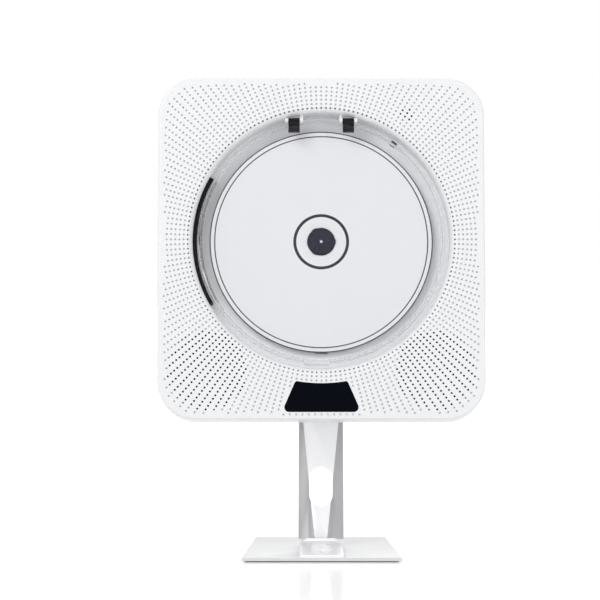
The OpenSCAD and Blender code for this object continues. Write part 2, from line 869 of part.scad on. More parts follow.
// Frame that carries the motors and the guide rods
module mechanism_frame() {
  mid = (frame_top_y + frame_low_y) / 2;
  color([0.16, 0.16, 0.17]) in_player() difference() {
    union() {
      translate([0, mid, frame_back_z]) linear_extrude(frame_t)
        rounded_rect(frame_w, frame_top_y - frame_low_y, frame_corner_r);
      for (s = [-1, 1]) for (y = [rod_top_y - rod_post_l, rod_low_y])
        translate([s * rod_x - rod_post_w / 2, y, rod_z - rod_r - rod_wall])
          cube([rod_post_w, rod_post_l, frame_back_z - rod_z + rod_r + rod_wall + 0.2]);
      translate([screw_x - screw_post_w / 2, rod_low_y, rod_z - screw_r - rod_wall])
        cube([screw_post_w, rod_post_l, frame_back_z - rod_z + screw_r + rod_wall + 0.2]);
      translate([screw_x - motor_plate_w / 2, screw_top_y, rod_z - motor_can_r])
        cube([motor_plate_w, rod_wall, frame_back_z - rod_z + motor_can_r + 0.2]);
    }
    translate([-frame_hole_w / 2, rod_low_y + rod_post_l, frame_back_z - 20])
      cube([frame_hole_w, sled_l / 2 + 1 - track_in_r - rod_low_y - rod_post_l, 40]);
    translate([0, 0, frame_back_z - 20]) cylinder(r = bush_r + snug, h = 40);
    for (s = [-1, 1]) translate([s * rod_x, rod_low_y - 1, rod_z])
      rotate([-90, 0, 0]) cylinder(r = rod_r + snug, h = 80);
    translate([screw_x, rod_low_y - 1, rod_z])
      rotate([-90, 0, 0]) cylinder(r = screw_r + running, h = 60);
    for (x = [-1, 1]) for (y = [damper_top_y, damper_low_y])
      translate([x * damper_x, y, frame_back_z - 3]) cylinder(r = damper_waist_r + snug, h = 10);
  }
}

// Waisted rubber dampers between the deck's posts and the frame
module rubber_dampers() {
  color([0.08, 0.08, 0.08]) in_player() for (x = [-1, 1]) for (y = [damper_top_y, damper_low_y])
    translate([x * damper_x, y, 0]) rotate_extrude() difference() {
      translate([post_r + snug, frame_back_z - damper_foot])
        square([damper_r - post_r - snug, deck_back_z - frame_back_z + damper_foot]);
      translate([damper_waist_r, frame_back_z - snug]) square([damper_r, frame_t + 2 * snug]);
    }
}

// Screws that hold the dampers on their posts
module damper_screws() {
  color("silver") in_player() for (x = [-1, 1]) for (y = [damper_top_y, damper_low_y])
    translate([x * damper_x, y, frame_back_z - damper_foot - 0.1 - damper_head_t]) {
      cylinder(r = damper_head_r, h = damper_head_t);
      cylinder(r = damper_bore_r - snug, h = damper_head_t + 3.4);
    }
}

// Two steel rods that guide the pickup
module guide_rods() {
  color("silver") in_player() for (s = [-1, 1])
    translate([s * rod_x, rod_low_y, rod_z]) rotate([-90, 0, 0])
      cylinder(r = rod_r, h = rod_top_y - rod_low_y);
}

// Pickup sled with its bush, fork and nut arm
module pickup_sled() {
  top = frame_back_z + frame_t;
  color([0.2, 0.2, 0.22]) in_player() difference() {
    union() {
      translate([-frame_hole_w / 2 + 1, -track_in_r - sled_l / 2, top - sled_t])
        cube([frame_hole_w - 2, sled_l, sled_t]);
      translate([-rod_x - bush_w, -track_in_r - sled_l / 2, rod_z - bush_w])
        cube([8, sled_l, 2 * bush_w - 0.6]);
      translate([rod_x - 6, -track_in_r - sled_l / 2, rod_z - bush_w])
        cube([screw_x - rod_x + bush_w + 5.8, nut_l, 2 * bush_w - 0.6]);
    }
    translate([-rod_x, 0, rod_z]) rotate([90, 0, 0]) cylinder(r = rod_r + running, h = 60);
    translate([rod_x, 0, rod_z]) rotate([90, 0, 0]) cylinder(r = rod_r + running, h = 60);
    translate([screw_x, 0, rod_z]) rotate([90, 0, 0]) cylinder(r = screw_r + running, h = 60);
  }
}

// Lens holder and lens, which reach through the deck's slot
module pickup_lens() {
  top = frame_back_z + frame_t;
  color([0.25, 0.3, 0.5]) in_player() translate([0, -track_in_r, top])  {
    cylinder(r = lens_ring_r, h = disc_back_z - lens_gap - 0.6 - top);
    cylinder(r = lens_r, h = disc_back_z - lens_gap - top);
  }
}

// Lead screw beside the rod
module lead_screw() {
  color("silver") in_player() translate([screw_x, rod_low_y, rod_z])
    rotate([-90, 0, 0]) cylinder(r = screw_r, h = screw_top_y + 3 - rod_low_y);
}

// Motor that turns the lead screw
module sled_motor() {
  color([0.7, 0.7, 0.72]) in_player() difference() {
    translate([screw_x, screw_top_y + rod_wall, rod_z]) rotate([-90, 0, 0])
      cylinder(r = motor_can_r, h = motor_can_l);
    translate([screw_x, screw_top_y, rod_z]) rotate([-90, 0, 0]) cylinder(r = screw_r + running, h = 4);
  }
}

// Main board on the rear cover's posts
module main_board() {
  color([0.1, 0.35, 0.2]) in_player() difference() {
    translate([main_x, main_y, main_z + board_t / 2]) cube([main_w, main_h, board_t], center = true);
    for (p = board_posts) translate([p[0], p[1], main_z - 1])
      cylinder(r = post_bore_r + hair, h = board_t + 2);
  }
}

// Processor, amplifier, capacitors and plugs on the main board
module board_chips() {
  left = post_in - main_w / 2;
  low = post_in - main_h / 2;
  color(graphite) in_player() translate([main_x, main_y, main_z + board_t]) {
    translate([-processor_w / 2, processor_w, 0]) cube([processor_w, processor_w, chip_t]);
    translate([-memory_w, -memory_w, 0]) cube([memory_w, memory_l, chip_t]);
    translate([amplifier_l, low + processor_w, 0]) cube([amplifier_w, amplifier_l, chip_t]);
    for (i = [1:4]) translate([left + i * capacitor_pitch, low + 2 * capacitor_r, 0])
      cylinder(r = capacitor_r, h = capacitor_h);
    translate([left, memory_w, 0]) cube([plug_w, plug_l, plug_h]);
  }
}

// Loudspeaker basket
module speaker_frame() {
  r = speaker_r;
  h = speaker_d;
  translate([0, 0, wall_z - h]) rotate_extrude()
    polygon([[r - speaker_rim_w, h], [r, h], [r, h - speaker_rim_t],
      [r - speaker_rim_w + basket_t, h - speaker_rim_t], [basket_r, magnet_t + basket_t],
      [basket_r, magnet_t], [cap_r - 1, magnet_t], [cap_r - 1, magnet_t + basket_t],
      [basket_r - basket_t, magnet_t + basket_t], [r - speaker_rim_w, h - speaker_rim_t]]);
}

// Loudspeaker cone with its surround and dust cap
module speaker_cone() {
  r = speaker_r - speaker_rim_w - snug;
  h = speaker_d;
  cap = h - cap_depth;
  translate([0, 0, wall_z - h]) rotate_extrude()
    polygon([[r, h - 1.1], [r, h - 0.5], [r - surround_w, h - 1.1], [cap_r, cap - 1], [0, cap],
      [0, cap - 1], [cap_r - 0.4, cap - 2]]);
}

// Loudspeaker magnet
module speaker_magnet() {
  translate([0, 0, wall_z - speaker_d]) cylinder(r = magnet_r, h = magnet_t);
}

// Puts a piece at the left or the right speaker
module at_speaker(s) {
  in_player() translate([s * speaker_x, -speaker_down, 0]) children();
}

module speaker_frame_left() {
  color(graphite) at_speaker(-1) speaker_frame();
}

module speaker_frame_right() {
  color(graphite) at_speaker(1) speaker_frame();
}

module speaker_cone_left() {
  color([0.1, 0.1, 0.1]) at_speaker(-1) speaker_cone();
}

module speaker_cone_right() {
  color([0.1, 0.1, 0.1]) at_speaker(1) speaker_cone();
}

module speaker_magnet_left() {
  color("silver") at_speaker(-1) speaker_magnet();
}

module speaker_magnet_right() {
  color("silver") at_speaker(1) speaker_magnet();
}

// Button: cap in the wall, shoulder behind it, stem to its switch
module button(i) {
  color(white) in_player() translate([button_place(i), top_y, button_z]) {
    translate([-button_l / 2, -cap_t, -button_w / 2]) cube([button_l, cap_t, button_w]);
    translate([-button_l / 2 - shoulder_w, -cap_t, -button_w / 2 - shoulder_w])
      cube([button_l + 2 * shoulder_w, shoulder_t - slip, button_w + 2 * shoulder_w]);
    translate([-stem_w / 2, -cap_t - stem_l, -stem_w / 2]) cube([stem_w, stem_l + 0.1, stem_w]);
  }
}

module button_power() {
  button(0);
}

module button_source() {
  button(1);
}

module button_back() {
  button(2);
}

module button_play() {
  button(3);
}

module button_next() {
  button(4);
}

module button_volume_down() {
  button(5);
}

module button_volume_up() {
  button(6);
}

// Board under the buttons
module key_board() {
  color([0.1, 0.35, 0.2]) in_player() translate([0, key_top_y - key_h - board_t / 2, button_z])
    cube([button_pitch * button_names, board_t, key_board_w], center = true);
}

// Push switches on the key board
module key_switches() {
  color(graphite) in_player() for (i = [0:button_names - 1])
    translate([button_place(i), key_top_y - key_h / 2, button_z])
      cube([key_w, key_h, key_w], center = true);
}

// Board that carries the sockets
module port_board() {
  color([0.1, 0.35, 0.2]) in_player()
    translate([port_face_x - port_board_w, inlet_y - port_board_low, port_board_z - port_board_t])
      cube([port_board_w, power_y - inlet_y + port_board_low + port_board_up, port_board_t]);
}

// Power inlet with its middle contact
module power_inlet() {
  color(graphite) in_player() translate([port_face_x - port_d, inlet_y, port_z]) {
    difference() {
      translate([0, -inlet_w / 2, port_board_z - port_z]) cube([port_d, inlet_w, inlet_h]);
      translate([2, 0, 0]) rod_x_way(inlet_r, port_d);
    }
    rod_x_way(contact_r, port_d - 2);
  }
}

// Sound socket
module sound_jack(y) {
  color(graphite) in_player() translate([port_face_x - port_d, y, port_z]) difference() {
    union() {
      translate([0, -jack_w / 2, port_board_z - port_z]) cube([port_d, jack_w, jack_h]);
      rod_x_way(jack_r + jack_wall, port_d + side_wall - 0.1);
    }
    translate([1, 0, 0]) rod_x_way(jack_r, port_d + side_wall);
  }
}

module line_in_jack() {
  sound_jack(line_y);
}

module headphone_jack() {
  sound_jack(phone_y);
}

// Socket for a memory stick: metal shell and contact tongue
module usb_socket() {
  color("silver") in_player() translate([port_face_x - port_d + 0.1, usb_y, port_z]) {
    difference() {
      translate([0, -usb_w / 2 + slip, -usb_h / 2 + slip])
        cube([port_d + side_wall - 0.4, usb_w - 2 * slip, usb_h - 2 * slip]);
      translate([1, -usb_w / 2 + slip + usb_shell_t, -usb_h / 2 + slip + usb_shell_t])
        cube([port_d + side_wall, usb_w - 2 * (slip + usb_shell_t), usb_h - 2 * (slip + usb_shell_t)]);
    }
    translate([0.5, -usb_tongue_w / 2, 0.1]) cube([port_d - 2, usb_tongue_w, usb_tongue_t]);
  }
}

// Slide switch for the power
module power_switch() {
  room = knob_l + switch_travel + 1 + 2 * slip;
  color(graphite) in_player() difference() {
    translate([port_face_x - switch_d - slip, power_y - switch_l / 2, port_board_z])
      cube([switch_d, switch_l, switch_h]);
    translate([port_face_x - switch_slot_d, power_y - room / 2, port_z - knob_stem_w / 2 - slip])
      cube([switch_slot_d + 2, room, knob_stem_w + 2 * slip]);
  }
}

// Knob of the power switch, at the lower end of its slot
module power_knob() {
  color(graphite) in_player() translate([port_face_x, power_y - switch_travel / 2, port_z]) {
    translate([0.1, -knob_l / 2, -knob_w / 2]) cube([side_wall - 0.3, knob_l, knob_w]);
    translate([-knob_stem_l, -knob_l / 2, -knob_stem_w / 2])
      cube([knob_stem_l + 0.2, knob_l, knob_stem_w]);
  }
}

// Bar of the column between two heights, for one strip of the section
module column_strip(x0_low, x1_low, d0_low, d1_low, x0_top, x1_top) {
  hull() {
    strip_end(foot_y, x0_low, x1_low, d0_low, d1_low);
    strip_end(column_flat_y, x0_top, x1_top, 0, 0);
  }
}

// Thin slice of a strip: from (x0, d0) to (x1, d1), d behind the back's plane
module strip_end(y, x0, x1, d0, d1) {
  translate([0, y, back_z]) rotate([90, 0, 0]) linear_extrude(0.01)
    polygon([[x0, -d0], [x1, -d1], [x1, -d1 - column_t], [x0, -d0 - column_t]]);
}

// Column: flat behind the player, pressed into a trough towards its foot
module stand_column() {
  half = column_w / 2;
  floor_half = half - trough_side;
  color([0.8, 0.8, 0.82]) {
    in_player() difference() {
      union() {
        translate([-half, column_flat_y - 0.01, back_z - column_t])
          cube([column_w, column_top_y - column_flat_y, column_t]);
        column_strip(-floor_half, floor_half, trough_d, trough_d, -half + 0.4, half - 0.4);
        column_strip(-half, -floor_half, 0, trough_d, -half, -half + 0.4);
        column_strip(floor_half, half, trough_d, 0, half - 0.4, half);
      }
      translate([0, hole_mid_y, back_z - 20]) linear_extrude(40) {
        square([cable_hole_w, cable_hole_l - cable_hole_w], center = true);
        for (s = [-1, 1]) translate([0, s * (cable_hole_l - cable_hole_w) / 2]) circle(cable_hole_w / 2);
      }
      for (y = stand_screw_y) translate([0, y, back_z - 10])
        cylinder(r = stand_screw_r + snug, h = 20);
    }
    column_bend();
    difference() {
      translate([-tongue_w / 2, -base_d / 2 + 0.6, base_top_z])
        cube([tongue_w, bend_mid_y + base_d / 2 - 0.6, column_t]);
      for (y = base_screw_y) translate([0, y, 0])
        cylinder(r = base_screw_r, h = plate_top_z + 1);
    }
  }
}

// Round bend between the column's foot and the tongue
module column_bend() {
  y = bend_mid_y;
  z = plate_top_z + bend_r;
  translate([-tongue_w / 2, y, z]) rotate([0, 90, 0]) linear_extrude(tongue_w) intersection() {
    difference() {
      circle(bend_r + column_t);
      circle(bend_r);
    }
    square(bend_r + column_t + 1);
  }
}

// Screws that hang the player on the column
module stand_screws() {
  color("silver") in_player() for (y = stand_screw_y) translate([0, y, back_z - column_t]) {
    translate([0, 0, -stand_head_t]) cylinder(r = stand_head_r, h = stand_head_t);
    cylinder(r = stand_screw_r, h = stand_screw_l);
  }
}

// Outline of the base, grown by a margin
module base_outline(grow) {
  d = base_d / 2 + grow;
  front = base_front_w / 2 + grow;
  back = base_back_w / 2 + grow;
  polygon([[-front, -d], [front, -d], [back, d], [-back, d]]);
}

// Base plate
module base_plate() {
  color([0.92, 0.92, 0.93]) difference() {
    translate([0, 0, pad_t]) linear_extrude(base_t) base_outline(0);
    for (y = base_screw_y) translate([0, y, 0]) {
      cylinder(r = base_screw_r + slip, h = plate_top_z);
      translate([0, 0, -1]) cylinder(r = base_head_r + slip, h = pad_t + base_head_t + 1);
    }
  }
}

// Screws from below into the column's tongue
module base_screws() {
  color("silver") for (y = base_screw_y) translate([0, y, pad_t]) {
    cylinder(r = base_head_r, h = base_head_t - snug);
    cylinder(r = base_screw_r - snug, h = base_t + column_t - slip);
  }
}

// Pad under the base
module base_pad() {
  color([0.15, 0.15, 0.15]) linear_extrude(pad_t) base_outline(-2);
}

face_grille();
front_housing();
disc_bay();
rear_cover();
rear_screws();
dust_cover();
hinge_arm_left();
hinge_arm_right();
hinge_pins();
finger_strip();
cover_sensor();
display_window();
display_module();
display_board();
remote_sensor();
disc();
turntable();
disc_claws();
spindle();
spindle_motor();
mechanism_frame();
rubber_dampers();
damper_screws();
guide_rods();
pickup_sled();
pickup_lens();
lead_screw();
sled_motor();
main_board();
board_chips();
speaker_frame_left();
speaker_frame_right();
speaker_cone_left();
speaker_cone_right();
speaker_magnet_left();
speaker_magnet_right();
button_power();
button_source();
button_back();
button_play();
button_next();
button_volume_down();
button_volume_up();
key_board();
key_switches();
port_board();
power_inlet();
line_in_jack();
headphone_jack();
usb_socket();
power_switch();
power_knob();
stand_column();
stand_screws();
base_plate();
base_screws();
base_pad();
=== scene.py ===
"""Upright disc player on a desk stand: its looks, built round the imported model."""

import json
import logging
import math
from dataclasses import dataclass
from enum import Enum
from typing import Callable, Sequence

import bmesh
import bpy
from mathutils import Matrix, Vector
from mathutils.geometry import delaunay_2d_cdt


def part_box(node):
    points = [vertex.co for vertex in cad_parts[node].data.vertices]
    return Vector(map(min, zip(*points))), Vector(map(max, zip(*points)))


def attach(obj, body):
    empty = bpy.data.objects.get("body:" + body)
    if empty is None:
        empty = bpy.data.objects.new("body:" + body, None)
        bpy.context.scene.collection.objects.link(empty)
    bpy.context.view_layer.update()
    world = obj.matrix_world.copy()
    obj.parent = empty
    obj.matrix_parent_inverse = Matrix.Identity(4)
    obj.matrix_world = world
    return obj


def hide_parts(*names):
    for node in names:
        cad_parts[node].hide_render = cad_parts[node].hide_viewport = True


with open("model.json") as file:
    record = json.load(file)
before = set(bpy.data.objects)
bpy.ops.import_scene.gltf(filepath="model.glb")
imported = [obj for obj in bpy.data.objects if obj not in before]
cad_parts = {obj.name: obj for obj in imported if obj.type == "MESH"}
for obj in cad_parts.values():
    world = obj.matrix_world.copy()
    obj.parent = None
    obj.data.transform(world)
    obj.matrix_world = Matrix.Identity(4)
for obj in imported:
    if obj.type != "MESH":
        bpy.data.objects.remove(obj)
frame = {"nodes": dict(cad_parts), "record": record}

logging.basicConfig(level=logging.INFO, format="%(message)s")
LOG = logging.getLogger("player")

MM = 0.001
MERGE_DISTANCE = 0.000002
INSIDE_LOOPS = 1
LOOP_EPSILON = 0.0000001
ARC_STEPS = 24
CORNER_STEPS = 12
BEVEL_SEGMENTS = 3
SHARP_EDGE = math.radians(40)
FACING = 0.9
Colour = tuple[float, float, float]
Point = tuple[float, float, float]
Pair = tuple[float, float]
Loop = list[Pair]
Socket = bpy.types.NodeSocket


class Body(Enum):
    """The moving groups that pieces ride on."""

    PLAYER = "player"
    COVER = "cover"
    DISC = "turning_parts"


class Slot(Enum):
    """The record's material slots."""

    CASE = "white_case"
    COVER = "clear_cover"
    WINDOW = "smoked_window"
    BLACK = "black_plastic"
    DARK = "dark_plastic"
    PRINT = "disc_print"
    STEEL = "bright_steel"
    MOTOR = "motor_steel"
    RUBBER = "rubber"
    BOARD = "board_green"
    PAPER = "paper_cone"
    STAND = "stand_silver"
    BASE = "base_white"
    LENS = "lens"


@dataclass(frozen=True)
class PlayerPlace:
    """Where the player's own frame stands: x right, y up the face, z out of the face.

    Attributes:
        lean: Angle that the player leans back, in degrees.
        axis_y: Place of the disc's axis along the table, in millimetres.
        axis_h: Height of the disc's axis above the table, in millimetres.
    """

    lean: float = 8.0
    axis_y: float = -3.0
    axis_h: float = 167.0

    @property
    def location(self) -> tuple[float, float, float]:
        """Origin of the player's frame, in metres."""
        return (0.0, self.axis_y * MM, self.axis_h * MM)

    @property
    def turn(self) -> float:
        """Turn about x that stands the player's frame up, in radians."""
        return math.radians(90 - self.lean)

    @property
    def matrix(self) -> Matrix:
        """Matrix from the player's frame to the row frame."""
        return Matrix.Translation(self.location) @ Matrix.Rotation(self.turn, 4, "X")


PLACE = PlayerPlace()


# Finishes


class Surface:
    """One node material, built round the standard surface shader."""

    CLOUD_STOPS = (0.3, 0.7)
    GRAIN_STRENGTH = 0.6
    GRAIN_DETAIL = 2.0

    def __init__(self, name: str, colour: Colour, roughness: float, metallic: float = 0.0) -> None:
        """Starts the material.

        Args:
            name: The material's name.
            colour: Base colour.
            roughness: Roughness of the surface.
            metallic: 1 for bare metal.
        """
        self.material = bpy.data.materials.new(name)
        self.material.use_nodes = True
        self.nodes = self.material.node_tree.nodes
        self.links = self.material.node_tree.links
        self.shader = self.nodes["Principled BSDF"]
        self.output = self.nodes["Material Output"]
        self.set("Base Color", (*colour, 1.0))
        self.set("Roughness", roughness)
        self.set("Metallic", metallic)
        self.colour = colour

    def set(self, socket: str, value: object) -> None:
        """Sets one of the shader's own sockets."""
        self.shader.inputs[socket].default_value = value

    def add(self, kind: str, **inputs: object) -> bpy.types.Node:
        """Adds a node.

        Args:
            kind: The node's type name.
            **inputs: Values of its input sockets, with _ for a space.

        Returns:
            The new node.
        """
        node = self.nodes.new(kind)
        for name, value in inputs.items():
            node.inputs[name.replace("_", " ")].default_value = value
        return node

    def link(self, source: Socket, target: Socket) -> None:
        """Links two sockets."""
        self.links.new(source, target)

    def coordinates(self, stretch: Sequence[float] = (1, 1, 1)) -> Socket:
        """Object coordinates, stretched.

        Args:
            stretch: Factor along each axis.

        Returns:
            The vector socket.
        """
        scale = self.add("ShaderNodeMapping", Scale=stretch)
        self.link(self.add("ShaderNodeTexCoord").outputs["Object"], scale.inputs["Vector"])
        return scale.outputs["Vector"]

    def calculate(self, operation: str, first: Socket, second: Socket) -> Socket:
        """Joins two values by an operation.

        Args:
            operation: Name of the operation.
            first: First value.
            second: Second value.

        Returns:
            The result's socket.
        """
        node = self.add("ShaderNodeMath")
        node.operation = operation
        self.link(first, node.inputs[0])
        self.link(second, node.inputs[1])
        return node.outputs["Value"]

    def noise(self, scale: float, detail: float = 3.0, vector: Socket | None = None) -> Socket:
        """Noise over the surface.

        Args:
            scale: Scale of the noise, per metre.
            detail: Octaves of the noise.
            vector: Coordinates, plain object coordinates if left out.

        Returns:
            The noise's value socket.
        """
        node = self.add("ShaderNodeTexNoise", Scale=scale, Detail=detail)
        self.link(vector or self.coordinates(), node.inputs["Vector"])
        return node.outputs["Fac"]

    def ramp(self, value: Socket, stops: Sequence[tuple[float, Colour]]) -> Socket:
        """Colour ramp.

        Args:
            value: Socket that drives the ramp.
            stops: Place and colour of each stop.

        Returns:
            The ramp's colour socket.
        """
        node = self.add("ShaderNodeValToRGB")
        elements = node.color_ramp.elements
        for i, (place, colour) in enumerate(stops):
            element = elements[i] if i < 2 else elements.new(place)
            element.position = place
            element.color = (*colour, 1.0)
        self.link(value, node.inputs["Fac"])
        return node.outputs["Color"]

    def vary_colour(self, scale: float, share: float) -> None:
        """Varies the base colour a little, in soft clouds.

        Args:
            scale: Scale of the clouds, per metre.
            share: Share by which the colour darkens at most.
        """
        darker = tuple(c * (1 - share) for c in self.colour)
        start, end = self.CLOUD_STOPS
        clouds = self.ramp(self.noise(scale), [(start, darker), (end, self.colour)])
        self.link(clouds, self.shader.inputs["Base Color"])

    def vary_roughness(self, scale: float, low: float, high: float) -> None:
        """Varies the roughness between two values."""
        node = self.add("ShaderNodeMapRange", To_Min=low, To_Max=high)
        self.link(self.noise(scale), node.inputs["Value"])
        self.link(node.outputs["Result"], self.shader.inputs["Roughness"])

    def grain(self, scale: float, depth: float, vector: Socket | None = None) -> None:
        """Gives the surface a fine raised grain.

        Args:
            scale: Scale of the grain, per metre.
            depth: Height of the grain, in metres.
            vector: Coordinates of the grain.
        """
        bump = self.add("ShaderNodeBump", Strength=self.GRAIN_STRENGTH, Distance=depth)
        self.link(self.noise(scale, self.GRAIN_DETAIL, vector), bump.inputs["Height"])
        self.link(bump.outputs["Normal"], self.shader.inputs["Normal"])

    def clear_for_light(self, tint: Colour) -> None:
        """Lets light through: shadow and diffuse rays meet a tinted see-through shader.

        Args:
            tint: Colour of the light that passes.
        """
        path = self.add("ShaderNodeLightPath")
        clear = self.add("ShaderNodeBsdfTransparent", Color=(*tint, 1.0))
        mix = self.add("ShaderNodeMixShader")
        either = self.calculate("MAXIMUM", path.outputs["Is Shadow Ray"], path.outputs["Is Diffuse Ray"])
        self.link(either, mix.inputs[0])
        self.link(self.shader.outputs["BSDF"], mix.inputs[1])
        self.link(clear.outputs["BSDF"], mix.inputs[2])
        self.link(mix.outputs["Shader"], self.output.inputs["Surface"])


@dataclass(frozen=True)
class Plastic:
    """Moulded plastic.

    Attributes:
        name: Name of the material.
        colour: Base colour.
        roughness: Lowest and highest roughness.
        cloud: Share by which the colour varies.
        grain_scale: Scale of the mould's grain, per metre.
        grain_depth: Height of the grain, in metres.
        coat: Weight of a clear gloss layer.
        specular: Level of the surface's own reflection.
        coat_roughness: Roughness of the gloss layer.
        cloud_scale: Scale of the colour's clouds, per metre.
        wear_scale: Scale of the roughness's changes, per metre.
    """

    name: str
    colour: Colour
    roughness: tuple[float, float]
    cloud: float = 0.02
    grain_scale: float = 2600.0
    grain_depth: float = 0.00001
    coat: float = 0.0
    specular: float = 0.5
    coat_roughness: float = 0.08
    cloud_scale: float = 35.0
    wear_scale: float = 120.0

    def make(self) -> bpy.types.Material:
        """Builds the material."""
        surface = Surface(self.name, self.colour, self.roughness[0])
        surface.set("Specular IOR Level", self.specular)
        surface.vary_colour(self.cloud_scale, self.cloud)
        surface.vary_roughness(self.wear_scale, *self.roughness)
        surface.grain(self.grain_scale, self.grain_depth)
        surface.set("Coat Weight", self.coat)
        surface.set("Coat Roughness", self.coat_roughness)
        return surface.material


@dataclass(frozen=True)
class ClearPlastic:
    """Clear moulded plastic of the cover and the lens.

    Attributes:
        name: Name of the material.
        colour: Colour of the plastic.
        roughness: Lowest roughness.
        ior: How strongly it bends and mirrors light.
        wear: How much rougher it gets in places.
        wear_scale: Scale of these places, per metre.
        tint: Colour of the light that it lets through.
    """

    name: str
    colour: Colour = (1.0, 1.0, 1.0)
    roughness: float = 0.0
    ior: float = 1.49
    wear: float = 0.012
    wear_scale: float = 90.0
    tint: Colour = (0.97, 0.97, 0.975)

    def make(self) -> bpy.types.Material:
        """Builds the material."""
        surface = Surface(self.name, self.colour, self.roughness)
        surface.set("Transmission Weight", 1.0)
        surface.set("IOR", self.ior)
        surface.vary_roughness(self.wear_scale, self.roughness, self.roughness + self.wear)
        surface.clear_for_light(self.tint)
        return surface.material


@dataclass(frozen=True)
class Metal:
    """Brushed or painted metal.

    Attributes:
        name: Name of the material.
        colour: Base colour.
        roughness: Lowest and highest roughness.
        metallic: 1 for bare metal, lower for metallic paint.
        stretch: How far the grain is drawn out along each axis.
        depth: Depth of the brushing, in metres.
        grain_scale: Scale of the brushing, per metre.
        cloud: Share by which the colour varies.
        cloud_scale: Scale of the colour's clouds, per metre.
        wear_scale: Scale of the roughness's changes, per metre.
    """

    name: str
    colour: Colour
    roughness: tuple[float, float]
    metallic: float = 1.0
    stretch: tuple[float, float, float] = (1.0, 1.0, 1.0)
    depth: float = 0.000004
    grain_scale: float = 1800.0
    cloud: float = 0.03
    cloud_scale: float = 60.0
    wear_scale: float = 300.0

    def make(self) -> bpy.types.Material:
        """Builds the material."""
        surface = Surface(self.name, self.colour, self.roughness[0], self.metallic)
        surface.vary_colour(self.cloud_scale, self.cloud)
        surface.vary_roughness(self.wear_scale, *self.roughness)
        surface.grain(self.grain_scale, self.depth, surface.coordinates(self.stretch))
        return surface.material


@dataclass(frozen=True)
class Floor:
    """Pale floor that stays white round the object and keeps its soft shadow.

    Attributes:
        name: Name of the material.
        colour: Base colour.
        roughness: Lowest and highest roughness.
        wear_scale: Scale of the roughness's changes, per metre.
        specular: Level of the floor's own reflection.
        reach: Distances from the object between which the glow rises, in metres.
        glow: What the camera and mirrored light see added, near and far.
    """

    name: str = "pale_floor"
    colour: Colour = (0.93, 0.93, 0.93)
    roughness: tuple[float, float] = (0.12, 0.16)
    wear_scale: float = 4.0
    specular: float = 0.45
    reach: tuple[float, float] = (0.3, 1.6)
    glow: tuple[float, float] = (0.25, 0.6)

    def make(self) -> bpy.types.Material:
        """Builds the material."""
        surface = Surface(self.name, self.colour, self.roughness[0])
        surface.set("Specular IOR Level", self.specular)
        surface.set("Emission Color", (1.0, 1.0, 1.0, 1.0))
        surface.vary_roughness(self.wear_scale, *self.roughness)
        distance = surface.add("ShaderNodeVectorMath")
        distance.operation = "LENGTH"
        surface.link(surface.coordinates(), distance.inputs[0])
        (near, far), (low, high) = self.reach, self.glow
        level = surface.add("ShaderNodeMapRange", From_Min=near, From_Max=far, To_Min=low, To_Max=high)
        surface.link(distance.outputs["Value"], level.inputs["Value"])
        path = surface.add("ShaderNodeLightPath")
        seen = surface.calculate("MAXIMUM", path.outputs["Is Camera Ray"], path.outputs["Is Glossy Ray"])
        glow = surface.calculate("MULTIPLY", seen, level.outputs["Result"])
        surface.link(glow, surface.shader.inputs["Emission Strength"])
        return surface.material


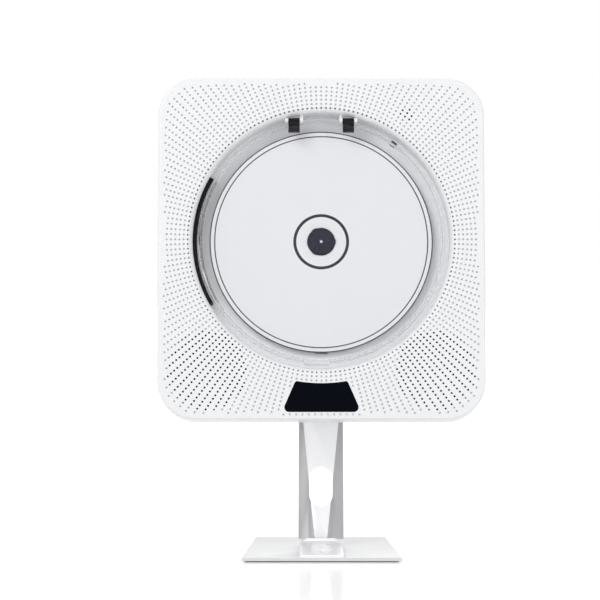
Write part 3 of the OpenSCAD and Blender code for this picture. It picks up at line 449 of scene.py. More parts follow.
class Finishes:
    """Every finish, made once and shared by name."""

    BRUSHED = (1.0, 1.0, 0.04)
    RECIPES: dict[str, Plastic | ClearPlastic | Metal] = {
        Slot.CASE.value: Plastic("case_white", (0.86, 0.865, 0.88), (0.3, 0.4), 0.012),
        # Lower than real clear plastic, about 1.49: less of the white room is mirrored in the cover.
        Slot.COVER.value: ClearPlastic("cover_clear", ior=1.25),
        Slot.WINDOW.value: Plastic(
            "window_smoked", (0.002, 0.0028, 0.0065), (0.05, 0.1), 0.3, grain_depth=0.000001, specular=0.03
        ),
        Slot.BLACK.value: Plastic("plastic_black", (0.004, 0.004, 0.006), (0.4, 0.55), 0.2, specular=0.15),
        Slot.DARK.value: Plastic("hub_dark", (0.016, 0.016, 0.034), (0.3, 0.45), 0.15, specular=0.12),
        Slot.PRINT.value: Plastic(
            "disc_white_print", (0.82, 0.825, 0.85), (0.16, 0.22), 0.008, coat=0.15, grain_depth=0.000001
        ),
        Slot.STEEL.value: Metal("steel_bright", (0.72, 0.72, 0.73), (0.18, 0.3)),
        Slot.MOTOR.value: Metal("steel_motor_can", (0.55, 0.55, 0.57), (0.3, 0.42)),
        Slot.RUBBER.value: Plastic("rubber_black", (0.02, 0.02, 0.02), (0.75, 0.9), 0.2, specular=0.3),
        Slot.BOARD.value: Plastic("board_lacquer", (0.02, 0.12, 0.05), (0.25, 0.4), 0.25, coat=0.4),
        Slot.PAPER.value: Plastic(
            "cone_paper", (0.012, 0.012, 0.013), (0.8, 0.95), 0.3, 900.0, 0.00004, specular=0.2
        ),
        Slot.STAND.value: Metal("stand_satin_silver", (0.97, 0.972, 0.98), (0.26, 0.34), 0.35, BRUSHED),
        Slot.BASE.value: Metal("base_satin_white", (0.75, 0.753, 0.76), (0.3, 0.4), 0.0),
        Slot.LENS.value: ClearPlastic("lens_coated", (0.35, 0.45, 0.75), 0.02, 1.6),
        # Painted shade: darker copy of the stand's metal for the column's sideways flanks.
        "column_flank_shade": Metal("column_flank_painted_shade", (0.45, 0.45, 0.465), (0.3, 0.4), 0.35, BRUSHED),
        # Painted shade: darker copy of the stand's metal for the tongue's upward faces.
        "column_tongue_shade": Metal("column_tongue_painted_shade", (0.84, 0.842, 0.85), (0.3, 0.4), 0.35, BRUSHED),
        "screen": Plastic(
            "speaker_screen_black", (0.006, 0.006, 0.007), (0.85, 0.95), 0.3, 1500.0, 0.00006, specular=0.1
        ),
        "disc_line": Plastic("disc_grey_line", (0.07, 0.07, 0.085), (0.18, 0.25), 0.05, specular=0.2),
        # Partly painted shade: the disc's unprinted rim, darkened also for the shade of the gap behind its
        # edge.
        "disc_edge": Plastic("disc_rim_with_painted_shade", (0.06, 0.06, 0.072), (0.12, 0.2), 0.05, specular=0.2),
        "disc_ring": Plastic("disc_dark_ring", (0.025, 0.025, 0.035), (0.2, 0.3), 0.08, specular=0.2),
    }

    def __init__(self) -> None:
        """Starts with no material made."""
        self.made: dict[str, bpy.types.Material] = {}

    def get(self, name: str | Slot) -> bpy.types.Material:
        """The material of a slot or of an extra finish, made at its first use."""
        key = name.value if isinstance(name, Slot) else name
        if key not in self.made:
            self.made[key] = self.RECIPES[key].make()
        return self.made[key]


# Mesh work


def deselect_all() -> None:
    """Deselects every object."""
    if bpy.context.object and bpy.context.object.mode != "OBJECT":
        bpy.ops.object.mode_set(mode="OBJECT")
    bpy.ops.object.select_all(action="DESELECT")


def activate(obj: bpy.types.Object) -> None:
    """Selects one object alone and makes it active."""
    deselect_all()
    obj.select_set(True)
    bpy.context.view_layer.objects.active = obj


def apply_modifier(obj: bpy.types.Object, kind: str, **settings: object) -> None:
    """Adds a modifier and applies it.

    Args:
        obj: The object.
        kind: The modifier's type.
        **settings: Its settings.
    """
    activate(obj)
    modifier = obj.modifiers.new(kind.lower(), kind)
    for name, value in settings.items():
        setattr(modifier, name, value)
    bpy.ops.object.modifier_apply(modifier=modifier.name)


def edit(obj: bpy.types.Object, work: Callable[[bmesh.types.BMesh], None]) -> None:
    """Runs selection code on the object's mesh in edit mode.

    Args:
        obj: The object.
        work: Function that selects elements and calls edit-mode operators.
    """
    activate(obj)
    bpy.ops.object.mode_set(mode="EDIT")
    work(bmesh.from_edit_mesh(obj.data))
    bpy.ops.object.mode_set(mode="OBJECT")


def close_and_orient(obj: bpy.types.Object) -> None:
    """Merges doubles and points the faces outwards."""
    activate(obj)
    bpy.ops.object.mode_set(mode="EDIT")
    bpy.ops.mesh.select_all(action="SELECT")
    bpy.ops.mesh.remove_doubles(threshold=MERGE_DISTANCE)
    bpy.ops.mesh.normals_make_consistent(inside=False)
    bpy.ops.object.mode_set(mode="OBJECT")


def smooth(obj: bpy.types.Object, angle: float = 30.0) -> None:
    """Shades the object smooth below an angle, in degrees."""
    activate(obj)
    bpy.ops.object.shade_smooth_by_angle(angle=math.radians(angle))


def place(obj: bpy.types.Object) -> None:
    """Puts a piece drawn in the player's frame in its place, in its mesh."""
    activate(obj)
    obj.matrix_world = PLACE.matrix @ obj.matrix_world
    bpy.ops.object.transform_apply(location=True, rotation=True, scale=True)


def dress(obj: bpy.types.Object, material: bpy.types.Material) -> None:
    """Gives an object one material."""
    obj.data.materials.clear()
    obj.data.materials.append(material)


def revolve(name: str, outline: Loop, steps: int) -> bpy.types.Object:
    """Turns a closed outline of (radius, height) points about the z axis.

    Args:
        name: Name of the new object.
        outline: Points in millimetres, in order.
        steps: Steps round the axis.

    Returns:
        The new object, drawn in the player's frame.
    """
    deselect_all()
    bpy.ops.mesh.primitive_circle_add(vertices=len(outline), radius=MM)
    obj = bpy.context.object
    obj.name = name

    def spin(mesh: bmesh.types.BMesh) -> None:
        """Shapes the circle into the outline and spins it."""
        mesh.verts.ensure_lookup_table()
        for vertex, (radius, height) in zip(mesh.verts, outline):
            vertex.co = (radius * MM, 0.0, height * MM)
        bmesh.update_edit_mesh(obj.data)
        bpy.ops.mesh.select_all(action="SELECT")
        bpy.ops.mesh.spin(steps=steps, angle=math.tau, center=(0, 0, 0), axis=(0, 0, 1))

    edit(obj, spin)
    close_and_orient(obj)
    return obj


def arc(centre: Pair, radius: float, start: float, end: float, steps: int) -> Loop:
    """Points on an arc.

    Args:
        centre: Middle of the arc.
        radius: Its radius.
        start: First angle, in degrees.
        end: Last angle, in degrees.
        steps: Number of steps.

    Returns:
        The points, both ends among them.
    """
    angles = [math.radians(start + (end - start) * i / steps) for i in range(steps + 1)]
    return [(centre[0] + radius * math.cos(a), centre[1] + radius * math.sin(a)) for a in angles]


def ring_loop(radius: float, count: int) -> Loop:
    """Closed loop of evenly spaced points round the disc's axis.

    Args:
        radius: Its radius.
        count: Number of points.

    Returns:
        The loop's points.
    """
    return arc((0, 0), radius, 0, 360 - 360 / count, count - 1)


def is_within(x: float, y: float, loop: Loop) -> bool:
    """Whether a point lies within a closed loop.

    Args:
        x: Place of the point, to the right.
        y: Place of the point, upwards.
        loop: The loop's points.

    Returns:
        True within the loop.
    """
    within = False
    for (x0, y0), (x1, y1) in zip(loop, [*loop[1:], loop[0]]):
        if (y0 > y) != (y1 > y) and x < x0 + (x1 - x0) * (y - y0) / (y1 - y0):
            within = not within
    return within


def pressed_sheet(
    name: str,
    loops: Sequence[Loop],
    creases: Sequence[Loop],
    thickness: float,
    bend: Callable[[float, float], Point],
) -> bpy.types.Object:
    """Fills nested flat loops, bends the sheet and gives it a thickness behind.

    Args:
        name: Name of the new object.
        loops: Closed loops in millimetres; a loop inside another is a hole.
        creases: Closed loops that only add points where the sheet bends.
        thickness: Thickness of the sheet, in millimetres.
        bend: Gives a flat point's place on the pressed sheet, in millimetres.

    Returns:
        The new object, drawn in the player's frame.
    """
    points: list[Vector] = []
    edges: list[tuple[int, int]] = []
    for loop in [*loops, *creases]:
        first, count = len(points), len(loop)
        points += [Vector((x * MM, y * MM)) for x, y in loop]
        edges += [(first + i, first + (i + 1) % count) for i in range(count)]
    owner = [k if k < len(loops) else 0 for k, loop in enumerate([*loops, *creases]) for _ in loop]
    filled = delaunay_2d_cdt(points, edges, [], INSIDE_LOOPS, LOOP_EPSILON, True)
    home = [owner[ids[0]] if ids else 0 for ids in filled[3]]

    def is_solid(face: Sequence[int]) -> bool:
        """Whether a triangle lies in the sheet and not in one of its openings."""
        loop = home[face[0]]
        if loop == 0 or any(home[v] != loop for v in face):
            return True
        middle = sum((filled[0][v] for v in face), Vector((0, 0))) / 3
        return not is_within(middle.x / MM, middle.y / MM, loops[loop])

    mesh = bpy.data.meshes.new(name)
    places = [Vector(bend(v.x / MM, v.y / MM)) * MM for v in filled[0]]
    mesh.from_pydata(places, [], [f for f in filled[2] if is_solid(f)])
    obj = bpy.data.objects.new(name, mesh)
    bpy.context.collection.objects.link(obj)
    apply_modifier(obj, "SOLIDIFY", thickness=thickness * MM, offset=-1.0)
    return obj


def plate(name: str, loop: Loop, low: float, high: float) -> bpy.types.Object:
    """Extrudes one flat outline.

    Args:
        name: Name of the new object.
        loop: The outline's points, counter-clockwise, in millimetres.
        low: Height of the back, in millimetres.
        high: Height of the front, in millimetres.

    Returns:
        The new object, drawn in the player's frame.
    """
    deselect_all()
    bpy.ops.mesh.primitive_circle_add(vertices=len(loop), radius=MM, fill_type="NGON")
    obj = bpy.context.object
    obj.name = name

    def extrude(mesh: bmesh.types.BMesh) -> None:
        """Shapes the circle into the outline and pulls it up."""
        mesh.verts.ensure_lookup_table()
        for vertex, (x, y) in zip(mesh.verts, loop):
            vertex.co = (x * MM, y * MM, low * MM)
        bmesh.update_edit_mesh(obj.data)
        bpy.ops.mesh.select_all(action="SELECT")
        bpy.ops.mesh.extrude_region_move(TRANSFORM_OT_translate={"value": (0, 0, (high - low) * MM)})

    edit(obj, extrude)
    close_and_orient(obj)
    return obj


def box(middle: Point, size: Point) -> bpy.types.Object:
    """Adds a box in the player's frame.

    Args:
        middle: Its middle, in millimetres.
        size: Its size along each axis, in millimetres.

    Returns:
        The new object.
    """
    deselect_all()
    bpy.ops.mesh.primitive_cube_add(size=MM, location=[v * MM for v in middle])
    obj = bpy.context.object
    obj.scale = size
    bpy.ops.object.transform_apply(location=False, rotation=False, scale=True)
    return obj


def combine(obj: bpy.types.Object, tool: bpy.types.Object, operation: str) -> None:
    """Cuts a tool out of an object or joins it to the object, and removes the tool.

    Args:
        obj: The object.
        tool: The other shape.
        operation: DIFFERENCE or UNION.
    """
    apply_modifier(obj, "BOOLEAN", operation=operation, solver="EXACT", object=tool)
    bpy.data.objects.remove(tool)


def round_edges(obj: bpy.types.Object, width: float) -> None:
    """Rounds every sharp edge by a width in millimetres."""
    settings = {"limit_method": "ANGLE", "angle_limit": SHARP_EDGE}
    apply_modifier(obj, "BEVEL", width=width * MM, segments=BEVEL_SEGMENTS, **settings)


def join(pieces: Sequence[bpy.types.Object]) -> bpy.types.Object:
    """Joins pieces into the first one, which keeps its name."""
    deselect_all()
    for piece in pieces:
        piece.select_set(True)
    bpy.context.view_layer.objects.active = pieces[0]
    bpy.ops.object.join()
    return pieces[0]


# Sub-assemblies


@dataclass
class PieceKit:
    """What every sub-assembly shares: the finishes and the way a piece is registered."""

    finishes: Finishes

    def finish(
        self,
        obj: bpy.types.Object,
        body: Body | str,
        slot: Slot,
        replaced: Sequence[str] = (),
        dressed: bool = False,
    ) -> None:
        """Dresses a piece and fixes it to its body.

        Args:
            obj: The piece, in place.
            body: Body that it rides on.
            slot: Material slot that it takes its finish from.
            replaced: Nodes that it stands for.
            dressed: Whether it already has its materials.
        """
        if not dressed:
            dress(obj, self.finishes.get(slot))
        name = body.value if isinstance(body, Body) else body
        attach(obj, name)
        if replaced:
            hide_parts(*replaced)
        LOG.info("piece %s on %s: %d faces", obj.name, name, len(obj.data.polygons))


@dataclass
class PerforatedFace(PieceKit):
    """Perforated sheet over the face, rolled into the round bay, and what it shows.

    Attributes:
        half_w: Half the sheet's width.
        half_h: Half its height.
        mid_y: Height of its middle above the disc's axis.
        corner_r: Radius of its corners.
        face_z: Height of its front.
        sheet_t: Its thickness.
        opening_r: Radius where the inner rim starts to roll back.
        lip_r: Radius of that roll.
        rim_points: Points round the rim and round each crease.
        first_crease: How far the first crease lies inside the opening's radius.
        crease_start: How far the next one lies inside the first ring of holes.
        crease_step: Distance between the others.
        crease_count: Number of creases inside the first ring.
        rays: Holes on each ring.
        first_ring: Radius of the first ring of holes.
        last_ring: Radius that no ring goes past.
        pitch: Distance between rings.
        hole_r: Radius of a hole.
        hole_sides: Sides of a hole.
        border: Width that stays free of holes along the sheet's outer edge.
        window_margin: Width that stays free of holes round the window.
        row_holes: Holes in the straight row under the window.
        row_pitch: Distance between them.
        row_y: Place of that row up the face.
        window_top_r: Radius of the window's curved upper edge.
        window_low: How far its lower edge is below the disc's axis.
        window_half: Half its width at the top and at the bottom.
        window_corner: Radius of its corners.
        corner_steps: Steps of each of them.
        corner_past: How far the middles of the upper corners lie past the curved edge.
        window_gap: Gap between the window and the sheet.
        window_border: Width of the window's raised border.
        window_step: Height of that border.
        window_edge: Width of its rounded edge.
        flange_out: How far the flange behind the housing's front wall stands out.
        flange_t: Its thickness, more than the 0.8 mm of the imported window's flange.
        wall_z: Height of the back of the housing's front wall.
        speaker_x: How far each speaker is to the side.
        speaker_down: How far it is below the disc's axis.
        speaker_r: Radius of its screen.
        sensor_r: Radius of the screen over the remote sensor.
        screen_back: How far the back of a screen lies in front of that.
        screen_gap: Gap between a screen and the sheet.
        screen_edge: Width of a screen's sloped edge.
        screen_steps: Steps round a screen.
    """

    half_w: float = 86.0
    half_h: float = 90.8
    mid_y: float = -4.3
    corner_r: float = 19.25
    face_z: float = 10.0
    sheet_t: float = 1.0
    opening_r: float = 73.0
    lip_r: float = 4.0
    rim_points: int = 180
    first_crease: float = 0.55
    crease_start: float = 0.93
    crease_step: float = 0.6
    crease_count: int = 6
    rays: int = 180
    first_ring: float = 71.33
    last_ring: float = 128.0
    pitch: float = 2.27
    hole_r: float = 0.58
    hole_sides: int = 10
    border: float = 1.9
    window_margin: float = 1.35
    row_holes: int = 13
    row_pitch: float = 3.36
    row_y: float = -93.85
    window_top_r: float = 77.3
    window_low: float = 92.4
    window_half: tuple[float, float] = (14.5, 19.6)
    window_corner: float = 2.4
    corner_steps: int = 10
    corner_past: float = 1.0
    window_gap: float = 0.15
    window_border: float = 0.7
    window_step: float = 0.15
    window_edge: float = 0.25
    flange_out: float = 1.4
    flange_t: float = 1.4
    wall_z: float = 7.4
    speaker_x: float = 61.0
    speaker_down: float = 70.3
    speaker_r: float = 21.1
    sensor_r: float = 3.5
    screen_back: float = 0.8
    screen_gap: float = 0.1
    screen_edge: float = 0.3
    screen_steps: int = 48

    def corner_loop(self) -> Loop:
        """Outline of the sheet, with its round corners."""
        x = self.half_w - self.corner_r
        y = self.half_h - self.corner_r
        points: Loop = []
        for k, (sx, sy) in enumerate(((1, 1), (-1, 1), (-1, -1), (1, -1))):
            points += arc((sx * x, self.mid_y + sy * y), self.corner_r, 90 * k, 90 * k + 90, ARC_STEPS)
        return points

    def window_loop(self, grow: float) -> Loop:
        """Outline of the display window, grown by a margin.

        Args:
            grow: The margin.

        Returns:
            The loop's points.
        """
        radius = self.window_corner
        outer = self.window_top_r - grow
        low = (self.window_half[1] - radius, radius - self.window_low)
        top = (self.window_half[0] - radius, -self.window_top_r - self.corner_past)
        side = math.degrees(math.atan2(low[0] - top[0], top[1] - low[1]))
        corner = arc(low, radius + grow, -90, side, self.corner_steps)
        corner += arc(top, radius + grow, side, 90, self.corner_steps)
        right = [p for p in corner if math.hypot(*p) > outer]
        end = math.degrees(math.atan2(right[-1][1], right[-1][0]))
        curve = arc((0, 0), outer, end, -180 - end, ARC_STEPS)
        left = [(-x, y) for x, y in reversed(right)]
        return right + curve + left

    def inside(self, x: float, y: float) -> bool:
        """Whether a hole at this place keeps clear of the sheet's edges and of the window.

        Args:
            x: Place of the hole, to the right.
            y: Place of the hole, up the face.

        Returns:
            True where there is a hole.
        """
        inset = self.border
        radius = self.corner_r - inset
        dx = abs(x) - (self.half_w - inset - radius)
        dy = abs(y - self.mid_y) - (self.half_h - inset - radius)
        if dx > radius or dy > radius or (dx > 0 and dy > 0 and math.hypot(dx, dy) > radius):
            return False
        under = abs(x) < self.window_half[1] + self.row_pitch / 2 and y < -self.window_low
        return not under and not is_within(x, y, self.window_loop(self.window_margin))

    def hole_loop(self, x: float, y: float) -> Loop:
        """Outline of one hole, turned so that the same side faces the bay."""
        turned = math.degrees(math.atan2(y, x))
        return arc((x, y), self.hole_r, turned, turned + 360 - 360 / self.hole_sides, self.hole_sides - 1)

    def hole_loops(self) -> list[Loop]:
        """One small loop for each hole of the pattern."""
        middle = (self.row_holes - 1) / 2
        loops = [self.hole_loop((i - middle) * self.row_pitch, self.row_y) for i in range(self.row_holes)]
        rings = math.ceil((self.last_ring - self.first_ring) / self.pitch)
        for ring in range(rings):
            radius = self.first_ring + ring * self.pitch
            for ray in range(self.rays):
                angle = math.tau * ray / self.rays
                x, y = radius * math.cos(angle), radius * math.sin(angle)
                if self.inside(x, y):
                    loops.append(self.hole_loop(x, y))
        return loops

    def press(self, x: float, y: float) -> Point:
        """Place of a flat point on the pressed sheet, whose inner rim rolls back into the bay."""
        radius = math.hypot(x, y)
        if radius >= self.opening_r:
            return (x, y, self.face_z)
        roll = (self.opening_r - radius) / self.lip_r
        share = (self.opening_r - self.lip_r * math.sin(roll)) / radius
        return (x * share, y * share, self.face_z - self.lip_r * (1 - math.cos(roll)))

    def build_sheet(self) -> None:
        """Builds the sheet with its rolled rim."""
        rim = ring_loop(self.opening_r - self.lip_r * math.pi / 2, self.rim_points)
        loops = [self.corner_loop(), rim, self.window_loop(self.window_gap), *self.hole_loops()]
        start = self.first_ring - self.crease_start
        radii = [self.opening_r - self.first_crease]
        radii += [start - self.crease_step * i for i in range(self.crease_count)]
        creases = [ring_loop(radius, self.rim_points) for radius in radii]
        sheet = pressed_sheet("perforated_sheet", loops, creases, self.sheet_t, self.press)
        smooth(sheet)
        place(sheet)
        self.finish(sheet, Body.PLAYER, Slot.CASE, ["face_grille"])

    def build_window(self) -> None:
        """Builds the smoked window: bevelled front with a fine inner step, and its flange behind."""
        front = plate("smoked_window", self.window_loop(0.0), self.wall_z, self.face_z)

        def inset(mesh: bmesh.types.BMesh) -> None:
            """Steps the front face back a little inside a narrow border."""
            bpy.ops.mesh.select_all(action="DESELECT")
            for face in mesh.faces:
                face.select_set(face.normal.z > FACING)
            bmesh.update_edit_mesh(front.data)
            bpy.ops.mesh.inset(thickness=self.window_border * MM)
            bpy.ops.transform.translate(value=(0, 0, -self.window_step * MM))

        edit(front, inset)
        round_edges(front, self.window_edge)
        back = self.wall_z - self.flange_t
        flange = plate("window_flange", self.window_loop(self.flange_out), back, self.wall_z)
        window = join([front, flange])
        smooth(window)
        place(window)
        self.finish(window, Body.PLAYER, Slot.WINDOW, ["display_window"])

    def build_screen(self, name: str, at: Pair, radius: float) -> None:
        """Builds a black screen that lies behind the holes of an opening.

        Args:
            name: Name of the piece.
            at: Middle of the screen in the player's frame.
            radius: Its radius.
        """
        back = self.wall_z + self.screen_back
        front = self.face_z - self.sheet_t - self.screen_gap
        slope = [(radius - self.screen_edge, front), (radius, front - self.screen_edge)]
        screen = revolve(name, [(0.0, front), *slope, (radius, back), (0.0, back)], self.screen_steps)
        screen.location = (at[0] * MM, at[1] * MM, 0.0)
        bpy.context.view_layer.update()
        smooth(screen)
        place(screen)
        dress(screen, self.finishes.get("screen"))
        self.finish(screen, Body.PLAYER, Slot.PAPER, dressed=True)

    def build(self) -> None:
        """Builds the sheet, the window and the screens behind the sounding holes."""
        self.build_sheet()
        self.build_window()
        for name, side in (("speaker_screen_left", -1), ("speaker_screen_right", 1)):
            self.build_screen(name, (side * self.speaker_x, -self.speaker_down), self.speaker_r)
        low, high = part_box("remote_sensor")
        middle = PLACE.matrix.inverted() @ ((Vector(low) + Vector(high)) / 2)
        self.build_screen("sensor_screen", (middle.x / MM, middle.y / MM), self.sensor_r)


@dataclass
class ClearCover(PieceKit):
    """Clear cover over the disc, with its hinge notches and finger tab.

    Attributes:
        radius: Its outer radius.
        wall: Thickness of its wall.
        corner_r: Radius of the round corner between plate and skirt.
        top: Height of its front.
        skirt: Height of its foot.
        foot_edge: Width of the sloped edges of the foot.
        steps: Steps round the cover.
        notch_x: Where each hinge notch starts and ends to the side.
        notch_y: Where it starts, up the face.
        notch_z: Where it starts, out of the face.
        notch_reach: How far the cut goes on from there.
        tab_x: Middle of the finger tab.
        tab_w: Its width.
        tab_out: How far it stands out of the skirt.
        tab_z: Heights of its back and front.
        tab_edge: Width of its rounded edges.
    """

    radius: float = 66.2
    wall: float = 1.6
    corner_r: float = 3.2
    top: float = 11.5
    skirt: float = 0.4
    foot_edge: float = 0.2
    steps: int = 360
    notch_x: tuple[float, float] = (9.65, 19.7)
    notch_y: float = 62.0
    notch_z: float = 5.3
    notch_reach: float = 10.0
    tab_x: float = -2.4
    tab_w: float = 13.4
    tab_out: float = 1.4
    tab_z: tuple[float, float] = (7.5, 10.0)
    tab_edge: float = 0.5

    def outline(self) -> Loop:
        """Section of the plate, the round corner and the skirt."""
        centre = (self.radius - self.corner_r, self.top - self.corner_r)
        outer = arc(centre, self.corner_r, 90, 0, CORNER_STEPS)
        inner = arc(centre, self.corner_r - self.wall, 0, 90, CORNER_STEPS)
        edge, low = self.foot_edge, self.skirt
        foot = [(self.radius, low + edge), (self.radius - edge, low)]
        foot += [(self.radius - self.wall + edge, low), (self.radius - self.wall, low + edge)]
        return [(0.0, self.top), *outer, *foot, *inner, (0.0, self.top - self.wall)]

    def cut_notches(self, shell: bpy.types.Object) -> None:
        """Cuts the two notches that the hinge arms pass through."""
        start, end = self.notch_x
        reach = self.notch_reach
        for side in (-1, 1):
            middle = (side * (start + end) / 2, self.notch_y + reach / 2, self.notch_z + reach / 2)
            combine(shell, box(middle, (end - start, reach, reach)), "DIFFERENCE")

    def add_tab(self, shell: bpy.types.Object) -> None:
        """Joins the finger tab to the lower edge of the cover."""
        low, high = self.tab_z
        depth = self.tab_out + self.wall
        middle = (self.tab_x, -self.radius - self.tab_out + depth / 2, (low + high) / 2)
        tab = box(middle, (self.tab_w, depth, high - low))
        round_edges(tab, self.tab_edge)
        combine(shell, tab, "UNION")

    def build(self) -> None:
        """Builds the cover."""
        shell = revolve("cover_shell", self.outline(), self.steps)
        self.cut_notches(shell)
        self.add_tab(shell)
        smooth(shell)
        place(shell)
        self.finish(shell, Body.COVER, Slot.COVER, ["dust_cover"])


@dataclass
class PrintedDisc(PieceKit):
    """White printed disc with its dark printed lines and a dark rim that carries painted shade, in one
    mesh of ring zones.

    Attributes:
        hole_r: Radius of its middle hole.
        outer_r: Its outer radius.
        half_t: Half its thickness.
        slope: Width of its sloped edges.
        drop: Height of its sloped edges.
        ring: Radii of the dark ring.
        white_rings: Radii of the points within the white print near the hub.
        line: Radii of the thin line near the edge.
        edge: Radius where the dark edge starts: the disc's unprinted rim, painted dark also as the shade
            of the gap behind it.
        steps: Steps round the disc.
    """

    hole_r: float = 7.5
    outer_r: float = 60.0
    half_t: float = 0.6
    slope: float = 0.2
    drop: float = 0.15
    ring: tuple[float, float] = (13.4, 15.0)
    white_rings: tuple[float, ...] = (16.6, 17.2, 22.6, 23.0)
    line: tuple[float, float] = (56.95, 57.6)
    edge: float = 59.4
    steps: int = 240

    def outline(self) -> Loop:
        """Section of the disc, with a point at each zone's radius."""
        zones = [self.hole_r + self.slope, *self.ring, *self.white_rings, *self.line, self.edge]
        flat = [(r, self.half_t) for r in [*zones, self.outer_r - self.slope]]
        rim = self.half_t - self.drop
        top = [(self.hole_r, rim), *flat, (self.outer_r, rim)]
        return top + [(r, -z) for r, z in reversed(top)]

    def zone(self, radius: float) -> int:
        """Number of the material at a radius."""
        if self.line[0] < radius < self.line[1]:
            return 1
        if radius > self.edge:
            return 2
        return 3 if self.ring[0] < radius < self.ring[1] else 0

    def build(self) -> None:
        """Builds the disc."""
        disc = revolve("printed_disc", self.outline(), self.steps)
        for name in (Slot.PRINT, "disc_line", "disc_edge", "disc_ring"):
            disc.data.materials.append(self.finishes.get(name))
        for face in disc.data.polygons:
            face.material_index = self.zone(face.center.to_2d().length / MM)
        smooth(disc)
        place(disc)
        self.finish(disc, Body.DISC, Slot.PRINT, ["disc"], dressed=True)


@dataclass
class RoundedPieces(PieceKit):
    """Moulded and pressed pieces that show, copied from their nodes with rounded edges.

    Attributes:
        button_r: Rounding of the buttons.
        knob_r: Rounding of the power knob.
        plate_r: Rounding of the base plate.
        sheet_r: Rounding of the column.
        flat_angle: Angle below which faces are merged, in degrees.
        smooth_angle: Angle below which faces are shaded as one, in degrees.
        flank_x: How far a flank's normal turns sideways, least and most, for the painted shade on the
            flanks.
        tongue_z: How far a face's normal turns upwards, at least, on the tongue, for its painted shade.
    """

    button_r: float = 0.35
    knob_r: float = 0.25
    plate_r: float = 0.5
    sheet_r: float = 0.3
    flat_angle: float = 1.5
    smooth_angle: float = 35.0
    flank_x: tuple[float, float] = (0.15, 0.9)
    tongue_z: float = 0.6

    def round_off(self, node: str, radius: float) -> bpy.types.Object:
        """Copies a node's mesh, merges it and rounds its edges.

        Args:
            node: Name of the node.
            radius: Width of the rounding, in millimetres.

        Returns:
            The new piece.
        """
        piece = bpy.data.objects.new(f"{node}_rounded", frame["nodes"][node].data.copy())
        bpy.context.collection.objects.link(piece)

        def merge(_: bmesh.types.BMesh) -> None:
            """Merges the loose triangles into whole faces."""
            bpy.ops.mesh.select_all(action="SELECT")
            bpy.ops.mesh.remove_doubles(threshold=MERGE_DISTANCE)
            bpy.ops.mesh.dissolve_limited(angle_limit=math.radians(self.flat_angle))

        edit(piece, merge)
        round_edges(piece, radius)
        smooth(piece, self.smooth_angle)
        return piece

    def build(self) -> None:
        """Builds the buttons, the power knob, the base plate and the column."""
        bodies = frame["record"]["behaviour"]["bodies"]
        slots = {part["node"]: Slot(part["material_slot"]) for part in frame["record"]["subparts"]}
        widths = {node: self.button_r for node in slots if node.startswith("button_")}
        widths |= {"power_knob": self.knob_r, "base_plate": self.plate_r, "stand_column": self.sheet_r}
        for node, width in widths.items():
            piece = self.round_off(node, width)
            dress(piece, self.finishes.get(slots[node]))
            if node == "stand_column":
                self.paint_column_shade(piece)
            body = next(name for name, nodes in bodies.items() if node in nodes)
            self.finish(piece, body, slots[node], [node], dressed=True)

    def paint_column_shade(self, column: bpy.types.Object) -> None:
        """Paints shade on the column: its two pressed flanks, which face sideways, and its tongue's upward
        faces get darker copies of its metal.
        """
        for name in ("column_flank_shade", "column_tongue_shade"):
            column.data.materials.append(self.finishes.get(name))
        least, most = self.flank_x
        for face in column.data.polygons:
            # Faces turned sideways towards the front take the flanks' painted shade.
            if least < abs(face.normal.x) < most and face.normal.y < 0:
                face.material_index = 1
            # Faces turned upwards take the tongue's painted shade.
            elif face.normal.z > self.tongue_z:
                face.material_index = 2


@dataclass
class NodeDresser(PieceKit):
    """Gives each node that stays visible its finish."""

    def build(self) -> None:
        """Dresses the nodes by the record's slots."""
        for part in frame["record"]["subparts"]:
            node = frame["nodes"][part["node"]]
            dress(node, self.finishes.get(part["material_slot"]))
            LOG.info("node %s dressed as %s", part["node"], part["material_slot"])


@dataclass(frozen=True)
class Lamp:
    """One soft square lamp.

    Attributes:
        name: Its name.
        location: Its place, in metres.
        size: Side of its square, in metres.
        power: Its power, in watts.
    """

    name: str
    location: Point
    size: float
    power: float

    def build(self, target: Point) -> None:
        """Adds the lamp, turned to a target."""
        deselect_all()
        bpy.ops.object.light_add(type="AREA", location=self.location)
        lamp = bpy.context.object
        lamp.name = self.name
        lamp.data.size = self.size
        lamp.data.energy = self.power
        lamp.rotation_euler = (Vector(target) - Vector(self.location)).to_track_quat("-Z", "Y").to_euler()


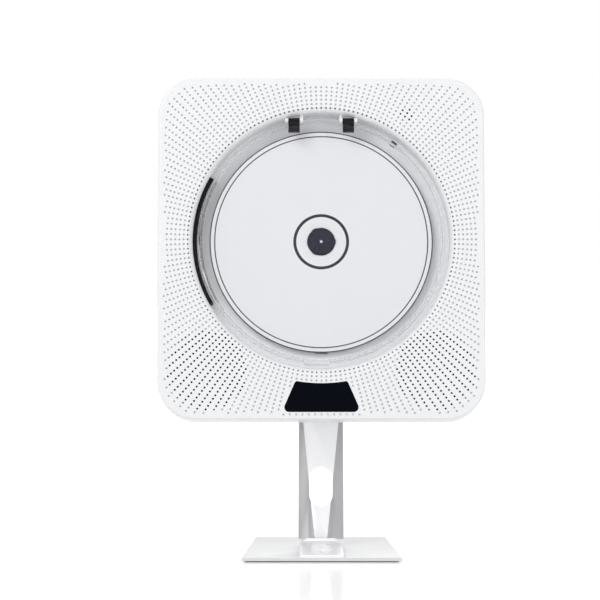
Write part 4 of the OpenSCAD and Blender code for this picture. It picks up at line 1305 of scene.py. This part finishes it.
@dataclass
class Studio:
    """Floor, lamps, world and camera.

    Attributes:
        camera: Place of the camera, in millimetres.
        camera_pitch: How far it looks down, in degrees.
        lens: Its focal length, in millimetres.
        sensor: Width of its sensor, in millimetres.
        view_depth: How far it sees, in metres.
        floor_size: Side of the floor, in metres.
        floor_z: Height of the floor, in metres.
        around: Strength of the world's light.
        white: Strength at which the world looks white.
        target: Point that the lamps look at, in metres.
        lamps: The lamps.
    """

    camera: Point = (-11.4, -1512.0, 165.0)
    camera_pitch: float = 1.11
    lens: float = 168.2
    sensor: float = 36.0
    view_depth: float = 50.0
    floor_size: float = 12.0
    floor_z: float = -0.0002
    around: float = 0.62
    white: float = 1.0
    target: Point = (0.0, 0.0, 0.15)
    lamps: tuple[Lamp, ...] = (
        Lamp("key", (-1.2, -1.6, 1.5), 1.2, 20.0),
        Lamp("fill", (1.5, -1.3, 0.7), 1.2, 7.0),
        Lamp("back", (0.2, 1.4, 1.4), 1.0, 8.0),
    )

    def build_floor(self) -> None:
        """Lays the floor just under the object."""
        deselect_all()
        bpy.ops.mesh.primitive_plane_add(size=self.floor_size, location=(0, 0, self.floor_z))
        floor = bpy.context.object
        floor.name = "floor"
        dress(floor, Floor().make())

    def build_world(self) -> None:
        """Sets a soft grey light all round, white to the camera, in gloss and through clear pieces."""
        world = bpy.data.worlds.new("studio")
        bpy.context.scene.world = world
        world.use_nodes = True
        nodes, links = world.node_tree.nodes, world.node_tree.links
        path = nodes.new("ShaderNodeLightPath")
        seen = path.outputs["Is Camera Ray"]
        for ray in ("Is Glossy Ray", "Is Transmission Ray"):
            either = nodes.new("ShaderNodeMath")
            either.operation = "MAXIMUM"
            links.new(seen, either.inputs[0])
            links.new(path.outputs[ray], either.inputs[1])
            seen = either.outputs["Value"]
        level = nodes.new("ShaderNodeMapRange")
        level.inputs["To Min"].default_value = self.around
        level.inputs["To Max"].default_value = self.white
        links.new(seen, level.inputs["Value"])
        links.new(level.outputs["Result"], nodes["Background"].inputs["Strength"])
        nodes["Background"].inputs["Color"].default_value = (1.0, 1.0, 1.0, 1.0)

    def build_camera(self) -> None:
        """Sets the camera in front of the player, a little to its left."""
        deselect_all()
        turn = (math.radians(90 - self.camera_pitch), 0, 0)
        bpy.ops.object.camera_add(location=[v * MM for v in self.camera], rotation=turn)
        camera = bpy.context.object
        camera.data.lens = self.lens
        camera.data.sensor_width = self.sensor
        camera.data.clip_end = self.view_depth
        bpy.context.scene.camera = camera

    def build(self) -> None:
        """Builds the whole studio."""
        self.build_floor()
        for lamp in self.lamps:
            lamp.build(self.target)
        self.build_world()
        self.build_camera()
        bpy.context.scene.view_settings.view_transform = "Standard"


def main() -> None:
    """Builds the studio and every sub-assembly."""
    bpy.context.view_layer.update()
    deselect_all()
    finishes = Finishes()
    Studio().build()
    for part in (NodeDresser, PerforatedFace, ClearCover, PrintedDisc, RoundedPieces):
        LOG.info("building %s", part.__name__)
        part(finishes).build()
    deselect_all()


if __name__ == "__main__":
    main()
